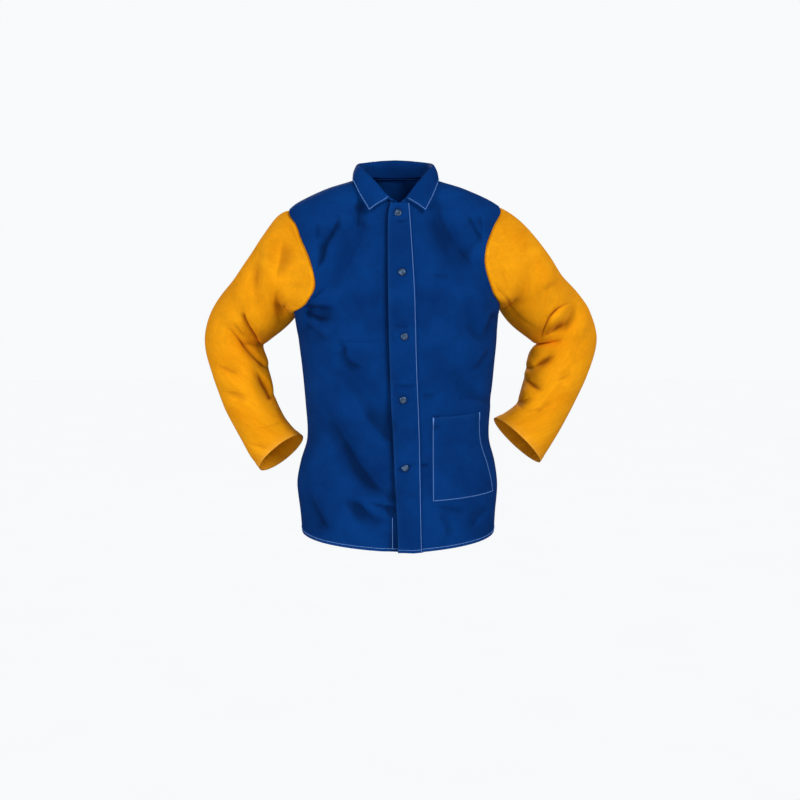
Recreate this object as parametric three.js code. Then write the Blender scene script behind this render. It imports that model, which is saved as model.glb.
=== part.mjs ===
// A welding jacket: cotton body, leather sleeves, turned-down collar, snap placket and one patch pocket.
// Millimetres, +Z up. The front faces -Y and +X is the wearer's left. The origin lies between the
// shoulders, at the middle of the neck hole, about where the jacket rests on its wearer.
import * as THREE from "three";

const CLOTH = 1.6; // wall of the cotton panels
const LEATHER = 2.0; // wall of the leather sleeves
const SEAM_GAP = 0.3; // a panel stops this far short of its seam line
const LAYER_GAP = 0.4; // air under a piece that is sewn on top of a panel

const HEM = { middle: -757, side: -747 }; // the hem hangs lower at the front than at the sides
const POCKET = { bottom: -658, top: -490, rise: 16, inner: 64, tuck: 0.54, spread: 0.7 };
const ARMPIT_LEVEL = -258; // height of the front edge that lies level with the armpits
const NECK = { half: 74, side: -2, drop: 58, rise: 8, shift: 5 };
const SNAP = { radius: 7.3, rim: 1.0, shoulder: 5.6, step: 1.5, crown: 4.4, height: 3.2, seat: 0.7 };

// Rows of every body panel, counted up from the hem.
const ROW = { pocketBottom: 3, pocketTop: 8, armpit: 15, neck: 20, shoulder: 26 };
// Columns of a front panel between its guide lines, and of the back's neckline.
const COLUMNS = { pocket: 4, side: 3, backNeck: 8 };
const SLEEVE_ROWS = 24;
const COLLAR_COLUMNS = 24;

// Torso sections: middle, half width, depth in front and behind, and squareness of the outline.
const TORSO = [
  { z: -760, mid: -4, half: 200, front: 144, back: 138, square: 2.4 },
  { z: -706, mid: -5, half: 204, front: 143, back: 135, square: 2.4 },
  { z: -640, mid: -6, half: 210, front: 139, back: 129, square: 2.4 },
  { z: -590, mid: -5, half: 203, front: 133, back: 121, square: 2.35 },
  { z: -540, mid: -4, half: 190, front: 129, back: 115, square: 2.3 },
  { z: -470, mid: -4, half: 193, front: 129, back: 114, square: 2.25 },
  { z: -400, mid: -4, half: 199, front: 131, back: 117, square: 2.2 },
  { z: -336, mid: -5, half: 206, front: 133, back: 122, square: 2.2 },
  { z: -286, mid: -7, half: 212, front: 133, back: 126, square: 2.15 },
  { z: -230, mid: -8, half: 218, front: 131, back: 129, square: 2.1 },
  { z: -170, mid: -9, half: 221, front: 125, back: 130, square: 2.05 },
  { z: -120, mid: -10, half: 222, front: 114, back: 127, square: 2 },
  { z: -90, mid: -10, half: 222, front: 105, back: 121, square: 2 },
  { z: -68, mid: -10, half: 218, front: 97, back: 115, square: 2 },
  { z: -55, mid: -10, half: 205, front: 92, back: 110, square: 2 },
  { z: -38, mid: -10, half: 173, front: 84, back: 103, square: 2 },
  { z: -22, mid: -10, half: 135, front: 77, back: 96, square: 2 },
  { z: -10, mid: -10, half: 95, front: 72, back: 90, square: 2 },
  { z: -2, mid: -10, half: 74, front: 68, back: 86, square: 2 },
  { z: 10, mid: -10, half: 50, front: 62, back: 78, square: 2 },
];

// Placket: its free edge, the line where the two fronts meet under it, and its stitched edge, as x.
const PLACKET = [
  { z: -760, edge: -13, meet: 26, stitch: 46 },
  { z: -530, edge: -14, meet: 20, stitch: 38 },
  { z: -380, edge: -20, meet: 13, stitch: 31 },
  { z: -233, edge: -23, meet: 7, stitch: 25 },
  { z: -86, edge: -23, meet: 2, stitch: 17 },
  { z: -60, edge: -18, meet: 0, stitch: 15 },
];
const SNAPS = [
  { x: -4, z: -81 },
  { x: 4, z: -198 },
  { x: 9, z: -325 },
  { x: 6, z: -451 },
  { x: 10, z: -587 },
];

// Armholes from the armpit up to the shoulder tip: distance from the middle in front and behind.
const ARMHOLES = {
  right: [
    { z: -280 },
    { z: -266, front: 190, back: 207 },
    { z: -243, front: 172, back: 198 },
    { z: -216, front: 165, back: 194 },
    { z: -171, front: 175, back: 194 },
    { z: -127, front: 193, back: 201 },
    { z: -98, front: 206, back: 209 },
    { z: -70 },
  ],
  left: [
    { z: -266 },
    { z: -246, front: 203, back: 206 },
    { z: -212, front: 190, back: 197 },
    { z: -180, front: 182, back: 193 },
    { z: -155, front: 183, back: 195 },
    { z: -126, front: 193, back: 201 },
    { z: -97, front: 206, back: 209 },
    { z: -63 },
  ],
};

// Sleeve sections from the upper arm to the cuff: centre, half width across the arm, half depth.
const SLEEVES = {
  right: [
    { x: -236, y: 28, z: -182, half: 75, deep: 80 },
    { x: -290, y: 62, z: -250, half: 74, deep: 74 },
    { x: -342, y: 93, z: -302, half: 68, deep: 68 },
    { x: -361, y: 104, z: -345, half: 62, deep: 66 },
    { x: -346, y: 87, z: -402, half: 59, deep: 61 },
    { x: -324, y: 62, z: -468, half: 53, deep: 57 },
    { x: -295, y: 38, z: -521, half: 50, deep: 55 },
    { x: -274, y: 24, z: -551, half: 52, deep: 54 },
    { x: -251, y: 13, z: -575, half: 55, deep: 54 },
  ],
  left: [
    { x: 238, y: 40, z: -180, half: 71, deep: 80 },
    { x: 288, y: 82, z: -247, half: 74, deep: 74 },
    { x: 342, y: 120, z: -296, half: 70, deep: 68 },
    { x: 367, y: 135, z: -340, half: 64, deep: 66 },
    { x: 347, y: 118, z: -392, half: 66, deep: 62 },
    { x: 325, y: 92, z: -448, half: 59, deep: 58 },
    { x: 299, y: 68, z: -502, half: 53, deep: 56 },
    { x: 275, y: 56, z: -530, half: 58, deep: 56 },
    { x: 251, y: 50, z: -553, half: 66, deep: 56 },
  ],
};
const SLEEVE_BLEND = 0.2; // share of the sleeve over which the armhole turns into the arm's section
const SLEEVE_EASE = 0.11; // share of the sleeve over which its direction is evened out on either side
const UNDERARM_PUSH = 10; // how far the underarm swings clear of the body
const ELBOW_ROW = 11; // ring of the sleeve at the elbow, where its upper and lower solids meet

// Half of the collar from its front end to the middle of the back: the angle of its neck seam,
// then the roll line at its top and the free edge of its fall.
const COLLAR = [
  { at: 14, rollX: 18, rollY: -94, rollZ: -51, edgeX: 56, edgeY: -105, edgeZ: -77 },
  { at: 45, rollX: 48, rollY: -74, rollZ: -13, edgeX: 73, edgeY: -88, edgeZ: -45 },
  { at: 70, rollX: 71, rollY: -42, rollZ: 13, edgeX: 85, edgeY: -53, edgeZ: -14 },
  { at: 90, rollX: 77, rollY: 2, rollZ: 25, edgeX: 86, edgeY: 4, edgeZ: -3 },
  { at: 125, rollX: 64, rollY: 52, rollZ: 34, edgeX: 78, edgeY: 64, edgeZ: -6 },
  { at: 155, rollX: 30, rollY: 74, rollZ: 40, edgeX: 40, edgeY: 91, edgeZ: -8 },
  { at: 180, rollX: 0, rollY: 79, rollZ: 42, edgeX: 0, edgeY: 98, edgeZ: -9 },
];
const COLLAR_FOLD = 2.8; // radius of the collar's roll

// Folds of the cloth as seen from the front (face -1) or the back (face 1): start, end, how far the
// line bows to its left, half width, and depth. A negative depth raises a ridge.
const BODY_FOLDS = [
  { face: -1, x0: -112, z0: -108, x1: -163, z1: -228, bow: 16, width: 17, depth: 8 },
  { face: -1, x0: -168, z0: -100, x1: -172, z1: -180, bow: 4, width: 16, depth: 4 },
  { face: -1, x0: -62, z0: -100, x1: -98, z1: -170, bow: -6, width: 24, depth: 4 },
  { face: -1, x0: -196, z0: -278, x1: -120, z1: -292, bow: -6, width: 15, depth: 6 },
  { face: -1, x0: -150, z0: -380, x1: -18, z1: -520, bow: 10, width: 28, depth: 8 },
  { face: -1, x0: -110, z0: -530, x1: -20, z1: -640, bow: -8, width: 26, depth: 6 },
  { face: -1, x0: -120, z0: -650, x1: -70, z1: -705, bow: 6, width: 20, depth: 5 },
  { face: -1, x0: 168, z0: -122, x1: 142, z1: -170, bow: -6, width: 16, depth: 6 },
  { face: -1, x0: 92, z0: -70, x1: 112, z1: -165, bow: -8, width: 24, depth: 4 },
  { face: -1, x0: 190, z0: -340, x1: 130, z1: -296, bow: 6, width: 17, depth: 6 },
  { face: -1, x0: 175, z0: -430, x1: 90, z1: -395, bow: 8, width: 26, depth: 5 },
  { face: 1, x0: -150, z0: -190, x1: -60, z1: -430, bow: -20, width: 30, depth: 8 },
  { face: 1, x0: 145, z0: -190, x1: 70, z1: -450, bow: 22, width: 30, depth: 8 },
  { face: 1, x0: -110, z0: -470, x1: 60, z1: -520, bow: 10, width: 30, depth: 7 },
  { face: 1, x0: -95, z0: -600, x1: -80, z1: -760, bow: 4, width: 26, depth: 6 },
  { face: 1, x0: 70, z0: -570, x1: 90, z1: -760, bow: -6, width: 28, depth: 7 },
];
const SLEEVE_FOLDS = {
  right: [
    { face: -1, x0: -340, z0: -268, x1: -288, z1: -346, bow: -8, width: 15, depth: 9 },
    { face: -1, x0: -372, z0: -302, x1: -284, z1: -398, bow: 8, width: 15, depth: 9 },
    { face: -1, x0: -259, z0: -235, x1: -246, z1: -290, bow: 3, width: 13, depth: 7 },
    { face: -1, x0: -296, z0: -160, x1: -290, z1: -280, bow: -6, width: 20, depth: 5 },
    { face: -1, x0: -300, z0: -402, x1: -270, z1: -462, bow: -4, width: 14, depth: 7 },
    { face: -1, x0: -390, z0: -388, x1: -330, z1: -414, bow: 4, width: 16, depth: 5 },
    { face: -1, x0: -375, z0: -445, x1: -315, z1: -470, bow: 4, width: 16, depth: 5 },
    { face: -1, x0: -320, z0: -545, x1: -270, z1: -560, bow: 4, width: 14, depth: 4 },
    { face: 1, x0: -290, z0: -180, x1: -340, z1: -300, bow: 10, width: 22, depth: 6 },
    { face: 1, x0: -395, z0: -350, x1: -330, z1: -385, bow: 8, width: 18, depth: 6 },
  ],
  left: [
    { face: -1, x0: 372, z0: -250, x1: 310, z1: -338, bow: 22, width: 15, depth: 11 },
    { face: -1, x0: 352, z0: -306, x1: 318, z1: -328, bow: -4, width: 13, depth: 6 },
    { face: -1, x0: 336, z0: -372, x1: 286, z1: -392, bow: -5, width: 15, depth: 8 },
    { face: -1, x0: 374, z0: -404, x1: 332, z1: -422, bow: -5, width: 16, depth: 5 },
    { face: -1, x0: 270, z0: -420, x1: 300, z1: -448, bow: 6, width: 15, depth: 7 },
    { face: -1, x0: 330, z0: -465, x1: 285, z1: -490, bow: -4, width: 15, depth: 5 },
    { face: -1, x0: 262, z0: -160, x1: 268, z1: -250, bow: 6, width: 20, depth: 5 },
    { face: 1, x0: 290, z0: -180, x1: 350, z1: -300, bow: -10, width: 22, depth: 6 },
    { face: 1, x0: 400, z0: -350, x1: 330, z1: -385, bow: -8, width: 18, depth: 6 },
  ],
};

const QUARTER = Math.PI / 2;
const { clamp, lerp, smoothstep, degToRad } = THREE.MathUtils;

// One column of a table at a height, along a smooth curve through the rows.
function column(table, key, at, by = "z") {
  const rising = table[table.length - 1][by] > table[0][by];
  const rows = rising ? table : [...table].reverse();
  const last = rows.length - 1;
  let low = 0;
  while (low < last - 1 && at > rows[low + 1][by]) low++;
  const slope = (k) => {
    const before = rows[Math.max(k - 1, 0)];
    const after = rows[Math.min(k + 1, last)];
    return (after[key] - before[key]) / (after[by] - before[by]);
  };
  const span = rows[low + 1][by] - rows[low][by];
  const t = clamp((at - rows[low][by]) / span, 0, 1);
  const ease = t * t * (3 - 2 * t);
  const out = t * (1 - t) * (1 - t) * span * slope(low);
  const into = t * t * (t - 1) * span * slope(low + 1);
  return lerp(rows[low][key], rows[low + 1][key], ease) + out + into;
}

// A point of the torso at a turn (0 at the front, a quarter at the wearer's left) and a height.
function torsoPoint(turn, z) {
  const power = 2 / column(TORSO, "square", z);
  const across = Math.sin(turn);
  const along = Math.cos(turn);
  const deep = along > 0 ? -column(TORSO, "front", z) : column(TORSO, "back", z);
  const x = column(TORSO, "mid", z) + column(TORSO, "half", z) * Math.sign(across) * Math.abs(across) ** power;
  return new THREE.Vector3(x, deep * Math.abs(along) ** power, z);
}

function torsoNormal(turn, z) {
  const around = torsoPoint(turn + 0.01, z).sub(torsoPoint(turn - 0.01, z));
  const upward = torsoPoint(turn, z + 0.5).sub(torsoPoint(turn, z - 0.5));
  return around.cross(upward).normalize();
}

// The turn at which the front of the torso passes through x at a height.
function turnAt(x, z) {
  const share = clamp((x - column(TORSO, "mid", z)) / column(TORSO, "half", z), -1, 1);
  return Math.asin(Math.sign(share) * Math.abs(share) ** (column(TORSO, "square", z) / 2));
}

// How far the folds push a point along its normal.
function foldHeight(point, normal, folds) {
  let height = 0;
  for (const fold of folds) {
    const facing = smoothstep(normal.y * fold.face, 0.05, 0.4);
    if (facing === 0) continue;
    const start = new THREE.Vector2(fold.x0, fold.z0);
    const end = new THREE.Vector2(fold.x1, fold.z1);
    const aside = new THREE.Vector2(start.y - end.y, end.x - start.x).normalize();
    const bend = start.clone().lerp(end, 0.5).addScaledVector(aside, 2 * fold.bow);
    const line = new THREE.QuadraticBezierCurve(start, bend, end);
    const here = new THREE.Vector2(point.x, point.z);
    let nearest = Infinity;
    let where = 0;
    for (let step = 0; step <= 24; step++) {
      const distance = line.getPoint(step / 24).distanceTo(here);
      if (distance < nearest) {
        nearest = distance;
        where = step / 24;
      }
    }
    const ends = 0.25 + 0.75 * Math.sin(Math.PI * where);
    const valley = Math.exp(-((nearest / fold.width) ** 2));
    const lips = 0.45 * Math.exp(-((nearest / fold.width - 1.9) ** 2));
    height += facing * ends * fold.depth * (lips - valley);
  }
  return height;
}

// A place on the draped body: its point, its normal and its place in the pattern.
function bodyPlace(turn, z) {
  const normal = torsoNormal(turn, z);
  const point = torsoPoint(turn, z);
  point.addScaledVector(normal, foldHeight(point, normal, BODY_FOLDS));
  return { point, normal, turn, z };
}

// The armhole as a curve of turn and height from the armpit to the shoulder tip.
const TURN_SCALE = 200; // brings a turn in radians to about the millimetres it covers
function armholeCurve(side, part) {
  const spots = ARMHOLES[side].map((row) => {
    if (row[part] === undefined) return new THREE.Vector2(QUARTER * TURN_SCALE, row.z);
    const middle = column(TORSO, "mid", row.z);
    const turn = turnAt(middle + row[part], row.z);
    return new THREE.Vector2((part === "front" ? turn : Math.PI - turn) * TURN_SCALE, row.z);
  });
  return new THREE.SplineCurve(spots);
}
const armholes = {};
for (const side of ["left", "right"]) {
  armholes[side] = { front: armholeCurve(side, "front"), back: armholeCurve(side, "back") };
}

// Side edge of a panel at a row: side seam up to the armpit, then the armhole.
function sideEdge(side, part, row) {
  const sign = side === "left" ? 1 : -1;
  const armpit = ARMHOLES[side][0].z;
  if (row <= ROW.armpit) return { turn: sign * QUARTER, z: levelHeight(row, HEM.side, POCKET.rise, armpit) };
  const share = (row - ROW.armpit) / (ROW.shoulder - ROW.armpit);
  const spot = armholes[side][part].getPointAt(share);
  return { turn: (sign * spot.x) / TURN_SCALE, z: spot.y };
}

// Height of a row below the armpits, through the levels of the pocket's bottom and top.
function levelHeight(row, hem, rise, top) {
  const low = POCKET.bottom + rise;
  const high = POCKET.top + rise;
  if (row <= ROW.pocketBottom) return lerp(hem, low, row / ROW.pocketBottom);
  const upper = (row - ROW.pocketTop) / (ROW.armpit - ROW.pocketTop);
  if (row >= ROW.pocketTop) return lerp(high, top, upper);
  return lerp(low, high, (row - ROW.pocketBottom) / (ROW.pocketTop - ROW.pocketBottom));
}

// The neckline at an angle from the front: 0 in front, 90 at the shoulder, 180 behind.
function neckline(angle, sign) {
  const across = Math.sin(angle);
  const along = Math.cos(angle);
  const z = along > 0 ? NECK.side - NECK.drop * along ** 1.3 : NECK.side + NECK.rise * -along;
  const x = column(TORSO, "mid", z) + NECK.shift * Math.max(along, 0) + sign * NECK.half * across;
  const turn = turnAt(x, z);
  return { turn: along > 0 ? turn : Math.PI - turn, z };
}

// Front edge of a panel at a row: the line under the placket, then the neckline up to the shoulder.
const NECK_START = degToRad(6);
function frontEdge(side, row) {
  const sign = side === "left" ? 1 : -1;
  const top = NECK.side - NECK.drop;
  if (row > ROW.neck) {
    const share = (row - ROW.neck) / (ROW.shoulder - ROW.neck);
    const edge = frontEdge(side, ROW.neck);
    const aim = neckline(lerp(NECK_START, QUARTER, share), sign);
    const ease = (1 - share) ** 3;
    return { turn: lerp(aim.turn, edge.turn, ease), z: aim.z };
  }
  const upper = (row - ROW.armpit) / (ROW.neck - ROW.armpit);
  const z = row > ROW.armpit ? lerp(ARMPIT_LEVEL, top, upper) : levelHeight(row, HEM.middle, 0, ARMPIT_LEVEL);
  return { turn: turnAt(column(PLACKET, "meet", z) + sign, z), z };
}

// Shares of the way from the front edge to the side at which a front panel's guide lines lie.
function guideShares(side, row) {
  const sign = side === "left" ? 1 : -1;
  const edge = frontEdge(side, Math.min(row, ROW.neck));
  const rim = sideEdge(side, "front", Math.min(row, ROW.neck));
  const share = (turn) => (turn - edge.turn) / (rim.turn - edge.turn);
  const key = side === "left" ? "stitch" : "edge";
  const upper = smoothstep(row, ROW.pocketTop, ROW.shoulder);
  const over = smoothstep(row, ROW.neck, ROW.shoulder);
  const cover = lerp(share(turnAt(column(PLACKET, key, edge.z), edge.z)), 0.12, over);
  const inner = lerp(share(turnAt(sign * POCKET.inner - (sign < 0 ? 12 : 0), edge.z)), 0.3, upper);
  const level = clamp((edge.z - POCKET.bottom) / (POCKET.top - POCKET.bottom), 0, 1);
  const outer = lerp(inner + (1 - inner) * lerp(POCKET.spread, POCKET.tuck, level), 0.62, upper);
  return [0, cover, Math.max(inner, cover + 0.05), outer, 1];
}

// Shares of every column of a front panel at a row.
function frontShares(side, row) {
  const [edge, cover, inner, outer, rim] = guideShares(side, row);
  const shares = [edge, cover];
  for (let k = 0; k < COLUMNS.pocket; k++) shares.push(lerp(inner, outer, k / COLUMNS.pocket));
  for (let k = 0; k <= COLUMNS.side; k++) shares.push(lerp(outer, rim, k / COLUMNS.side));
  return shares;
}

// A front panel. Its upper rows run level under the placket and next to the armhole.
function frontGrid(side) {
  const grid = [];
  for (let row = 0; row <= ROW.shoulder; row++) {
    const edge = frontEdge(side, row);
    const rim = sideEdge(side, "front", row);
    const rising = smoothstep(row, ROW.pocketTop, ROW.armpit) - smoothstep(row, ROW.neck, ROW.shoulder);
    const shares = frontShares(side, row);
    const level = (s) => lerp(edge.z, rim.z, lerp(s, smoothstep(s, shares[1], 1), rising));
    grid.push(shares.map((s) => bodyPlace(lerp(edge.turn, rim.turn, s), level(s))));
  }
  return grid;
}

// The back runs from the wearer's left side to the right one; its four edges are blended inwards.
function backGrid() {
  const shoulder = frontShares("left", ROW.shoulder);
  const arm = shoulder.length - 1;
  const columns = 2 * arm + COLUMNS.backNeck;
  const topEdge = (k) => {
    if (k < arm) return { turn: QUARTER, z: lerp(NECK.side, ARMHOLES.left[7].z, shoulder[arm - k]) };
    if (k > columns - arm) {
      return { turn: 3 * QUARTER, z: lerp(NECK.side, ARMHOLES.right[7].z, shoulder[k - columns + arm]) };
    }
    const half = (k - arm) / COLUMNS.backNeck;
    const spot = neckline(QUARTER + Math.PI * Math.min(half, 1 - half), 1);
    return { turn: half > 0.5 ? 2 * Math.PI - spot.turn : spot.turn, z: spot.z };
  };
  const grid = [];
  for (let row = 0; row <= ROW.shoulder; row++) {
    const left = sideEdge("left", "back", row);
    const right = sideEdge("right", "back", row);
    const up = row / ROW.shoulder;
    const places = [];
    for (let k = 0; k <= columns; k++) {
      const s = k / columns;
      const top = topEdge(k);
      const even = lerp(QUARTER, 3 * QUARTER, s);
      const turn = lerp(even, top.turn, up ** 4) + lerp(left.turn, right.turn + 4 * QUARTER, s) - even;
      const tip = lerp(ARMHOLES.left[7].z, ARMHOLES.right[7].z, s);
      const fall = lerp(left.z, right.z, s) - tip;
      const spared = 0.55 * Math.sin(Math.PI * s) ** 0.7 * up ** 3;
      places.push(bodyPlace(turn, tip + fall * (1 - spared) + up ** 0.8 * (top.z - tip)));
    }
    grid.push(places);
  }
  return grid;
}

const material = (color, metalness = 0, roughness = 0.85) =>
  new THREE.MeshStandardMaterial({ color, metalness, roughness });

// Moves a border inwards by the seam gap, square to its own line, so that two neighbours never touch.
function pullBorder(border, inside) {
  const moves = border.map((place, k) => {
    const before = border[Math.max(k - 1, 0)].point;
    const after = border[Math.min(k + 1, border.length - 1)].point;
    const line = after.clone().sub(before).normalize();
    const inward = inside[k].point.clone().sub(place.point);
    return inward.addScaledVector(line, -inward.dot(line)).setLength(SEAM_GAP);
  });
  border.forEach((place, k) => place.point.add(moves[k]));
}

// Pulls in the two sides and the top of a panel.
function pullPanel(grid) {
  const last = grid.length - 1;
  const end = grid[0].length - 1;
  const line = (k) => grid.map((row) => row[k]);
  pullBorder(line(0), line(1));
  pullBorder(line(end), line(end - 1));
  pullBorder(grid[last], grid[last - 1]);
}

// A closed wall from a grid of places: the grid is its outer face, the inner face lies behind it.
function wall(name, grid, thickness, look, { closed = false, lift = 0 } = {}) {
  const rows = grid.length;
  const columns = grid[0].length;
  const positions = [];
  for (const depth of [lift, lift - thickness]) {
    for (const row of grid) {
      for (const { point, normal } of row) {
        const moved = point.clone().addScaledVector(normal, depth);
        positions.push(moved.x, moved.y, moved.z);
      }
    }
  }
  const at = (face, j, k) => face * rows * columns + j * columns + (k % columns);
  let turning = 0;
  for (let j = 0; j < rows - 1; j++) {
    for (let k = 0; k < columns - 1; k++) {
      const across = grid[j][k + 1].point.clone().sub(grid[j][k].point);
      const upward = grid[j + 1][k].point.clone().sub(grid[j][k].point);
      turning += across.cross(upward).dot(grid[j][k].normal);
    }
  }
  const outward = turning > 0;
  const index = [];
  const quad = (a, b, c, d) => {
    if (outward) index.push(a, b, c, a, c, d);
    else index.push(a, c, b, a, d, c);
  };
  const cells = closed ? columns : columns - 1;
  for (let j = 0; j < rows - 1; j++) {
    for (let k = 0; k < cells; k++) {
      quad(at(0, j, k), at(0, j, k + 1), at(0, j + 1, k + 1), at(0, j + 1, k));
      quad(at(1, j, k), at(1, j + 1, k), at(1, j + 1, k + 1), at(1, j, k + 1));
    }
    if (!closed) {
      quad(at(0, j, 0), at(0, j + 1, 0), at(1, j + 1, 0), at(1, j, 0));
      quad(at(0, j + 1, cells), at(0, j, cells), at(1, j, cells), at(1, j + 1, cells));
    }
  }
  for (let k = 0; k < cells; k++) {
    quad(at(0, 0, k + 1), at(0, 0, k), at(1, 0, k), at(1, 0, k + 1));
    quad(at(0, rows - 1, k), at(0, rows - 1, k + 1), at(1, rows - 1, k + 1), at(1, rows - 1, k));
  }
  const geometry = new THREE.BufferGeometry();
  geometry.setAttribute("position", new THREE.Float32BufferAttribute(positions, 3));
  geometry.setIndex(index);
  geometry.computeVertexNormals();
  const mesh = new THREE.Mesh(geometry, look);
  mesh.name = name;
  return mesh;
}

// A sleeve: its first ring lies on the armhole, and the rings turn into the arm's sections.
function sleeveGrid(side) {
  const steps = ROW.shoulder - ROW.armpit;
  const ring = [];
  for (let k = 0; k < 2 * steps; k++) {
    const part = k <= steps ? "front" : "back";
    const row = k <= steps ? ROW.shoulder - k : ROW.armpit + k - steps;
    const spot = sideEdge(side, part, row);
    ring.push(bodyPlace(spot.turn, spot.z));
  }
  const start = new THREE.Vector3();
  ring.forEach((place) => start.addScaledVector(place.point, 1 / ring.length));
  ring.forEach((place) => {
    const inward = start.clone().sub(place.point);
    inward.addScaledVector(place.normal, -inward.dot(place.normal));
    place.point.add(inward.setLength(SEAM_GAP));
  });
  const stations = SLEEVES[side].map((row) => new THREE.Vector3(row.x, row.y, row.z));
  const line = new THREE.CatmullRomCurve3([start, ...stations], false, "centripetal");
  const lengths = line.getLengths(400);
  const spots = [0, ...SLEEVES[side].map((row, k) => lengths[Math.round((400 * (k + 1)) / stations.length)])];
  const sizes = SLEEVES[side].map((row, k) => ({ ...row, at: spots[k + 1] / spots[stations.length] }));
  const grid = [];
  for (let j = 0; j <= SLEEVE_ROWS; j++) {
    const at = j / SLEEVE_ROWS;
    const centre = line.getPointAt(at);
    const along = line.getPointAt(Math.min(at + SLEEVE_EASE, 1));
    along.sub(line.getPointAt(Math.max(at - SLEEVE_EASE, 0))).normalize();
    const ahead = new THREE.Vector3(0, -1, 0).addScaledVector(along, along.y).normalize();
    const outer = ahead.clone().cross(along).multiplyScalar(side === "left" ? 1 : -1);
    const half = column(sizes, "half", Math.max(at, sizes[0].at), "at");
    const deep = column(sizes, "deep", Math.max(at, sizes[0].at), "at");
    const blend = smoothstep(at, 0, SLEEVE_BLEND);
    const shift = centre.clone().sub(start);
    grid.push(
      ring.map((place, k) => {
        const angle = (Math.PI * k) / steps;
        const spoke = outer.clone().multiplyScalar(half * Math.cos(angle));
        spoke.addScaledVector(ahead, deep * Math.sin(angle));
        const radial = outer.clone().multiplyScalar(Math.cos(angle) / half);
        radial.addScaledVector(ahead, Math.sin(angle) / deep).normalize();
        const normal = place.normal.clone().lerp(radial, smoothstep(at, 0, 0.12)).normalize();
        const point = place.point.clone().add(shift).lerp(centre.clone().add(spoke), blend);
        const under = (1 - Math.cos(angle)) / 2;
        const push = UNDERARM_PUSH * under * Math.sin(Math.PI * clamp(at / SLEEVE_BLEND, 0, 1));
        point.addScaledVector(place.normal, push);
        const height = foldHeight(point, normal, SLEEVE_FOLDS[side]) * smoothstep(at, 0.02, 0.15);
        return { point: point.addScaledVector(normal, height), normal };
      }),
    );
  }
  return grid;
}

// A place on the neck edge of the panels, between two of its corners.
function neckSeat(at, sign) {
  const steps = ROW.shoulder - ROW.neck;
  const start = THREE.MathUtils.radToDeg(NECK_START);
  const shoulder = (back[0].length - 1 - COLUMNS.backNeck) / 2;
  const front = fronts[sign > 0 ? "left" : "right"].slice(ROW.neck).map((row) => row[0]);
  const behind = back[ROW.shoulder].slice(shoulder, back[0].length - shoulder);
  const edge = at < 90 ? front : sign > 0 ? behind : [...behind].reverse();
  const step = at < 90 ? ((at - start) / (90 - start)) * steps : ((at - 90) / 180) * COLUMNS.backNeck;
  const low = Math.floor(step);
  const rest = step - low;
  const point = edge[low].point.clone().lerp(edge[low + 1].point, rest);
  return { point, normal: edge[low].normal.clone().lerp(edge[low + 1].normal, rest).normalize() };
}

// The collar: a stand from the neck seam to the roll line and a fall from there to the free edge.
function collarGrid() {
  const columns = [];
  for (let k = 0; k <= COLLAR_COLUMNS; k++) {
    const sign = k < COLLAR_COLUMNS / 2 ? -1 : 1;
    const share = 1 - Math.abs((2 * k) / COLLAR_COLUMNS - 1);
    const at = lerp(COLLAR[0].at, 180, share);
    const read = (key) => column(COLLAR, key, at, "at");
    const seat = neckSeat(at, sign);
    const middle = -10 + NECK.shift * Math.max(Math.cos(degToRad(at)), 0);
    const roll = new THREE.Vector3(middle + sign * read("rollX"), read("rollY"), read("rollZ"));
    const edge = new THREE.Vector3(middle + sign * read("edgeX"), read("edgeY"), read("edgeZ"));
    const seam = seat.point.addScaledVector(seat.normal, LAYER_GAP);
    const out = new THREE.Vector3(edge.x - roll.x, edge.y - roll.y, 0).normalize();
    const neckSide = roll.clone().addScaledVector(out, -COLLAR_FOLD).setZ(roll.z - COLLAR_FOLD);
    const fallSide = roll.clone().addScaledVector(out, COLLAR_FOLD).setZ(roll.z - COLLAR_FOLD);
    const belly = fallSide.clone().lerp(edge, 0.5).addScaledVector(out, 2);
    columns.push([seam, seam.clone().lerp(neckSide, 0.5), neckSide, roll, fallSide, belly, edge]);
  }
  const grid = columns[0].map((unused, j) => columns.map((points) => ({ point: points[j] })));
  grid.forEach((row, j) =>
    row.forEach((place, k) => {
      const before = row[Math.max(k - 1, 0)].point;
      const after = row[Math.min(k + 1, row.length - 1)].point;
      const below = grid[Math.max(j - 1, 0)][k].point;
      const above = grid[Math.min(j + 1, grid.length - 1)][k].point;
      place.normal = above.clone().sub(below).cross(after.clone().sub(before)).normalize();
    }),
  );
  return grid;
}

const part = new THREE.Group();
part.name = "welding_jacket";

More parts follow.
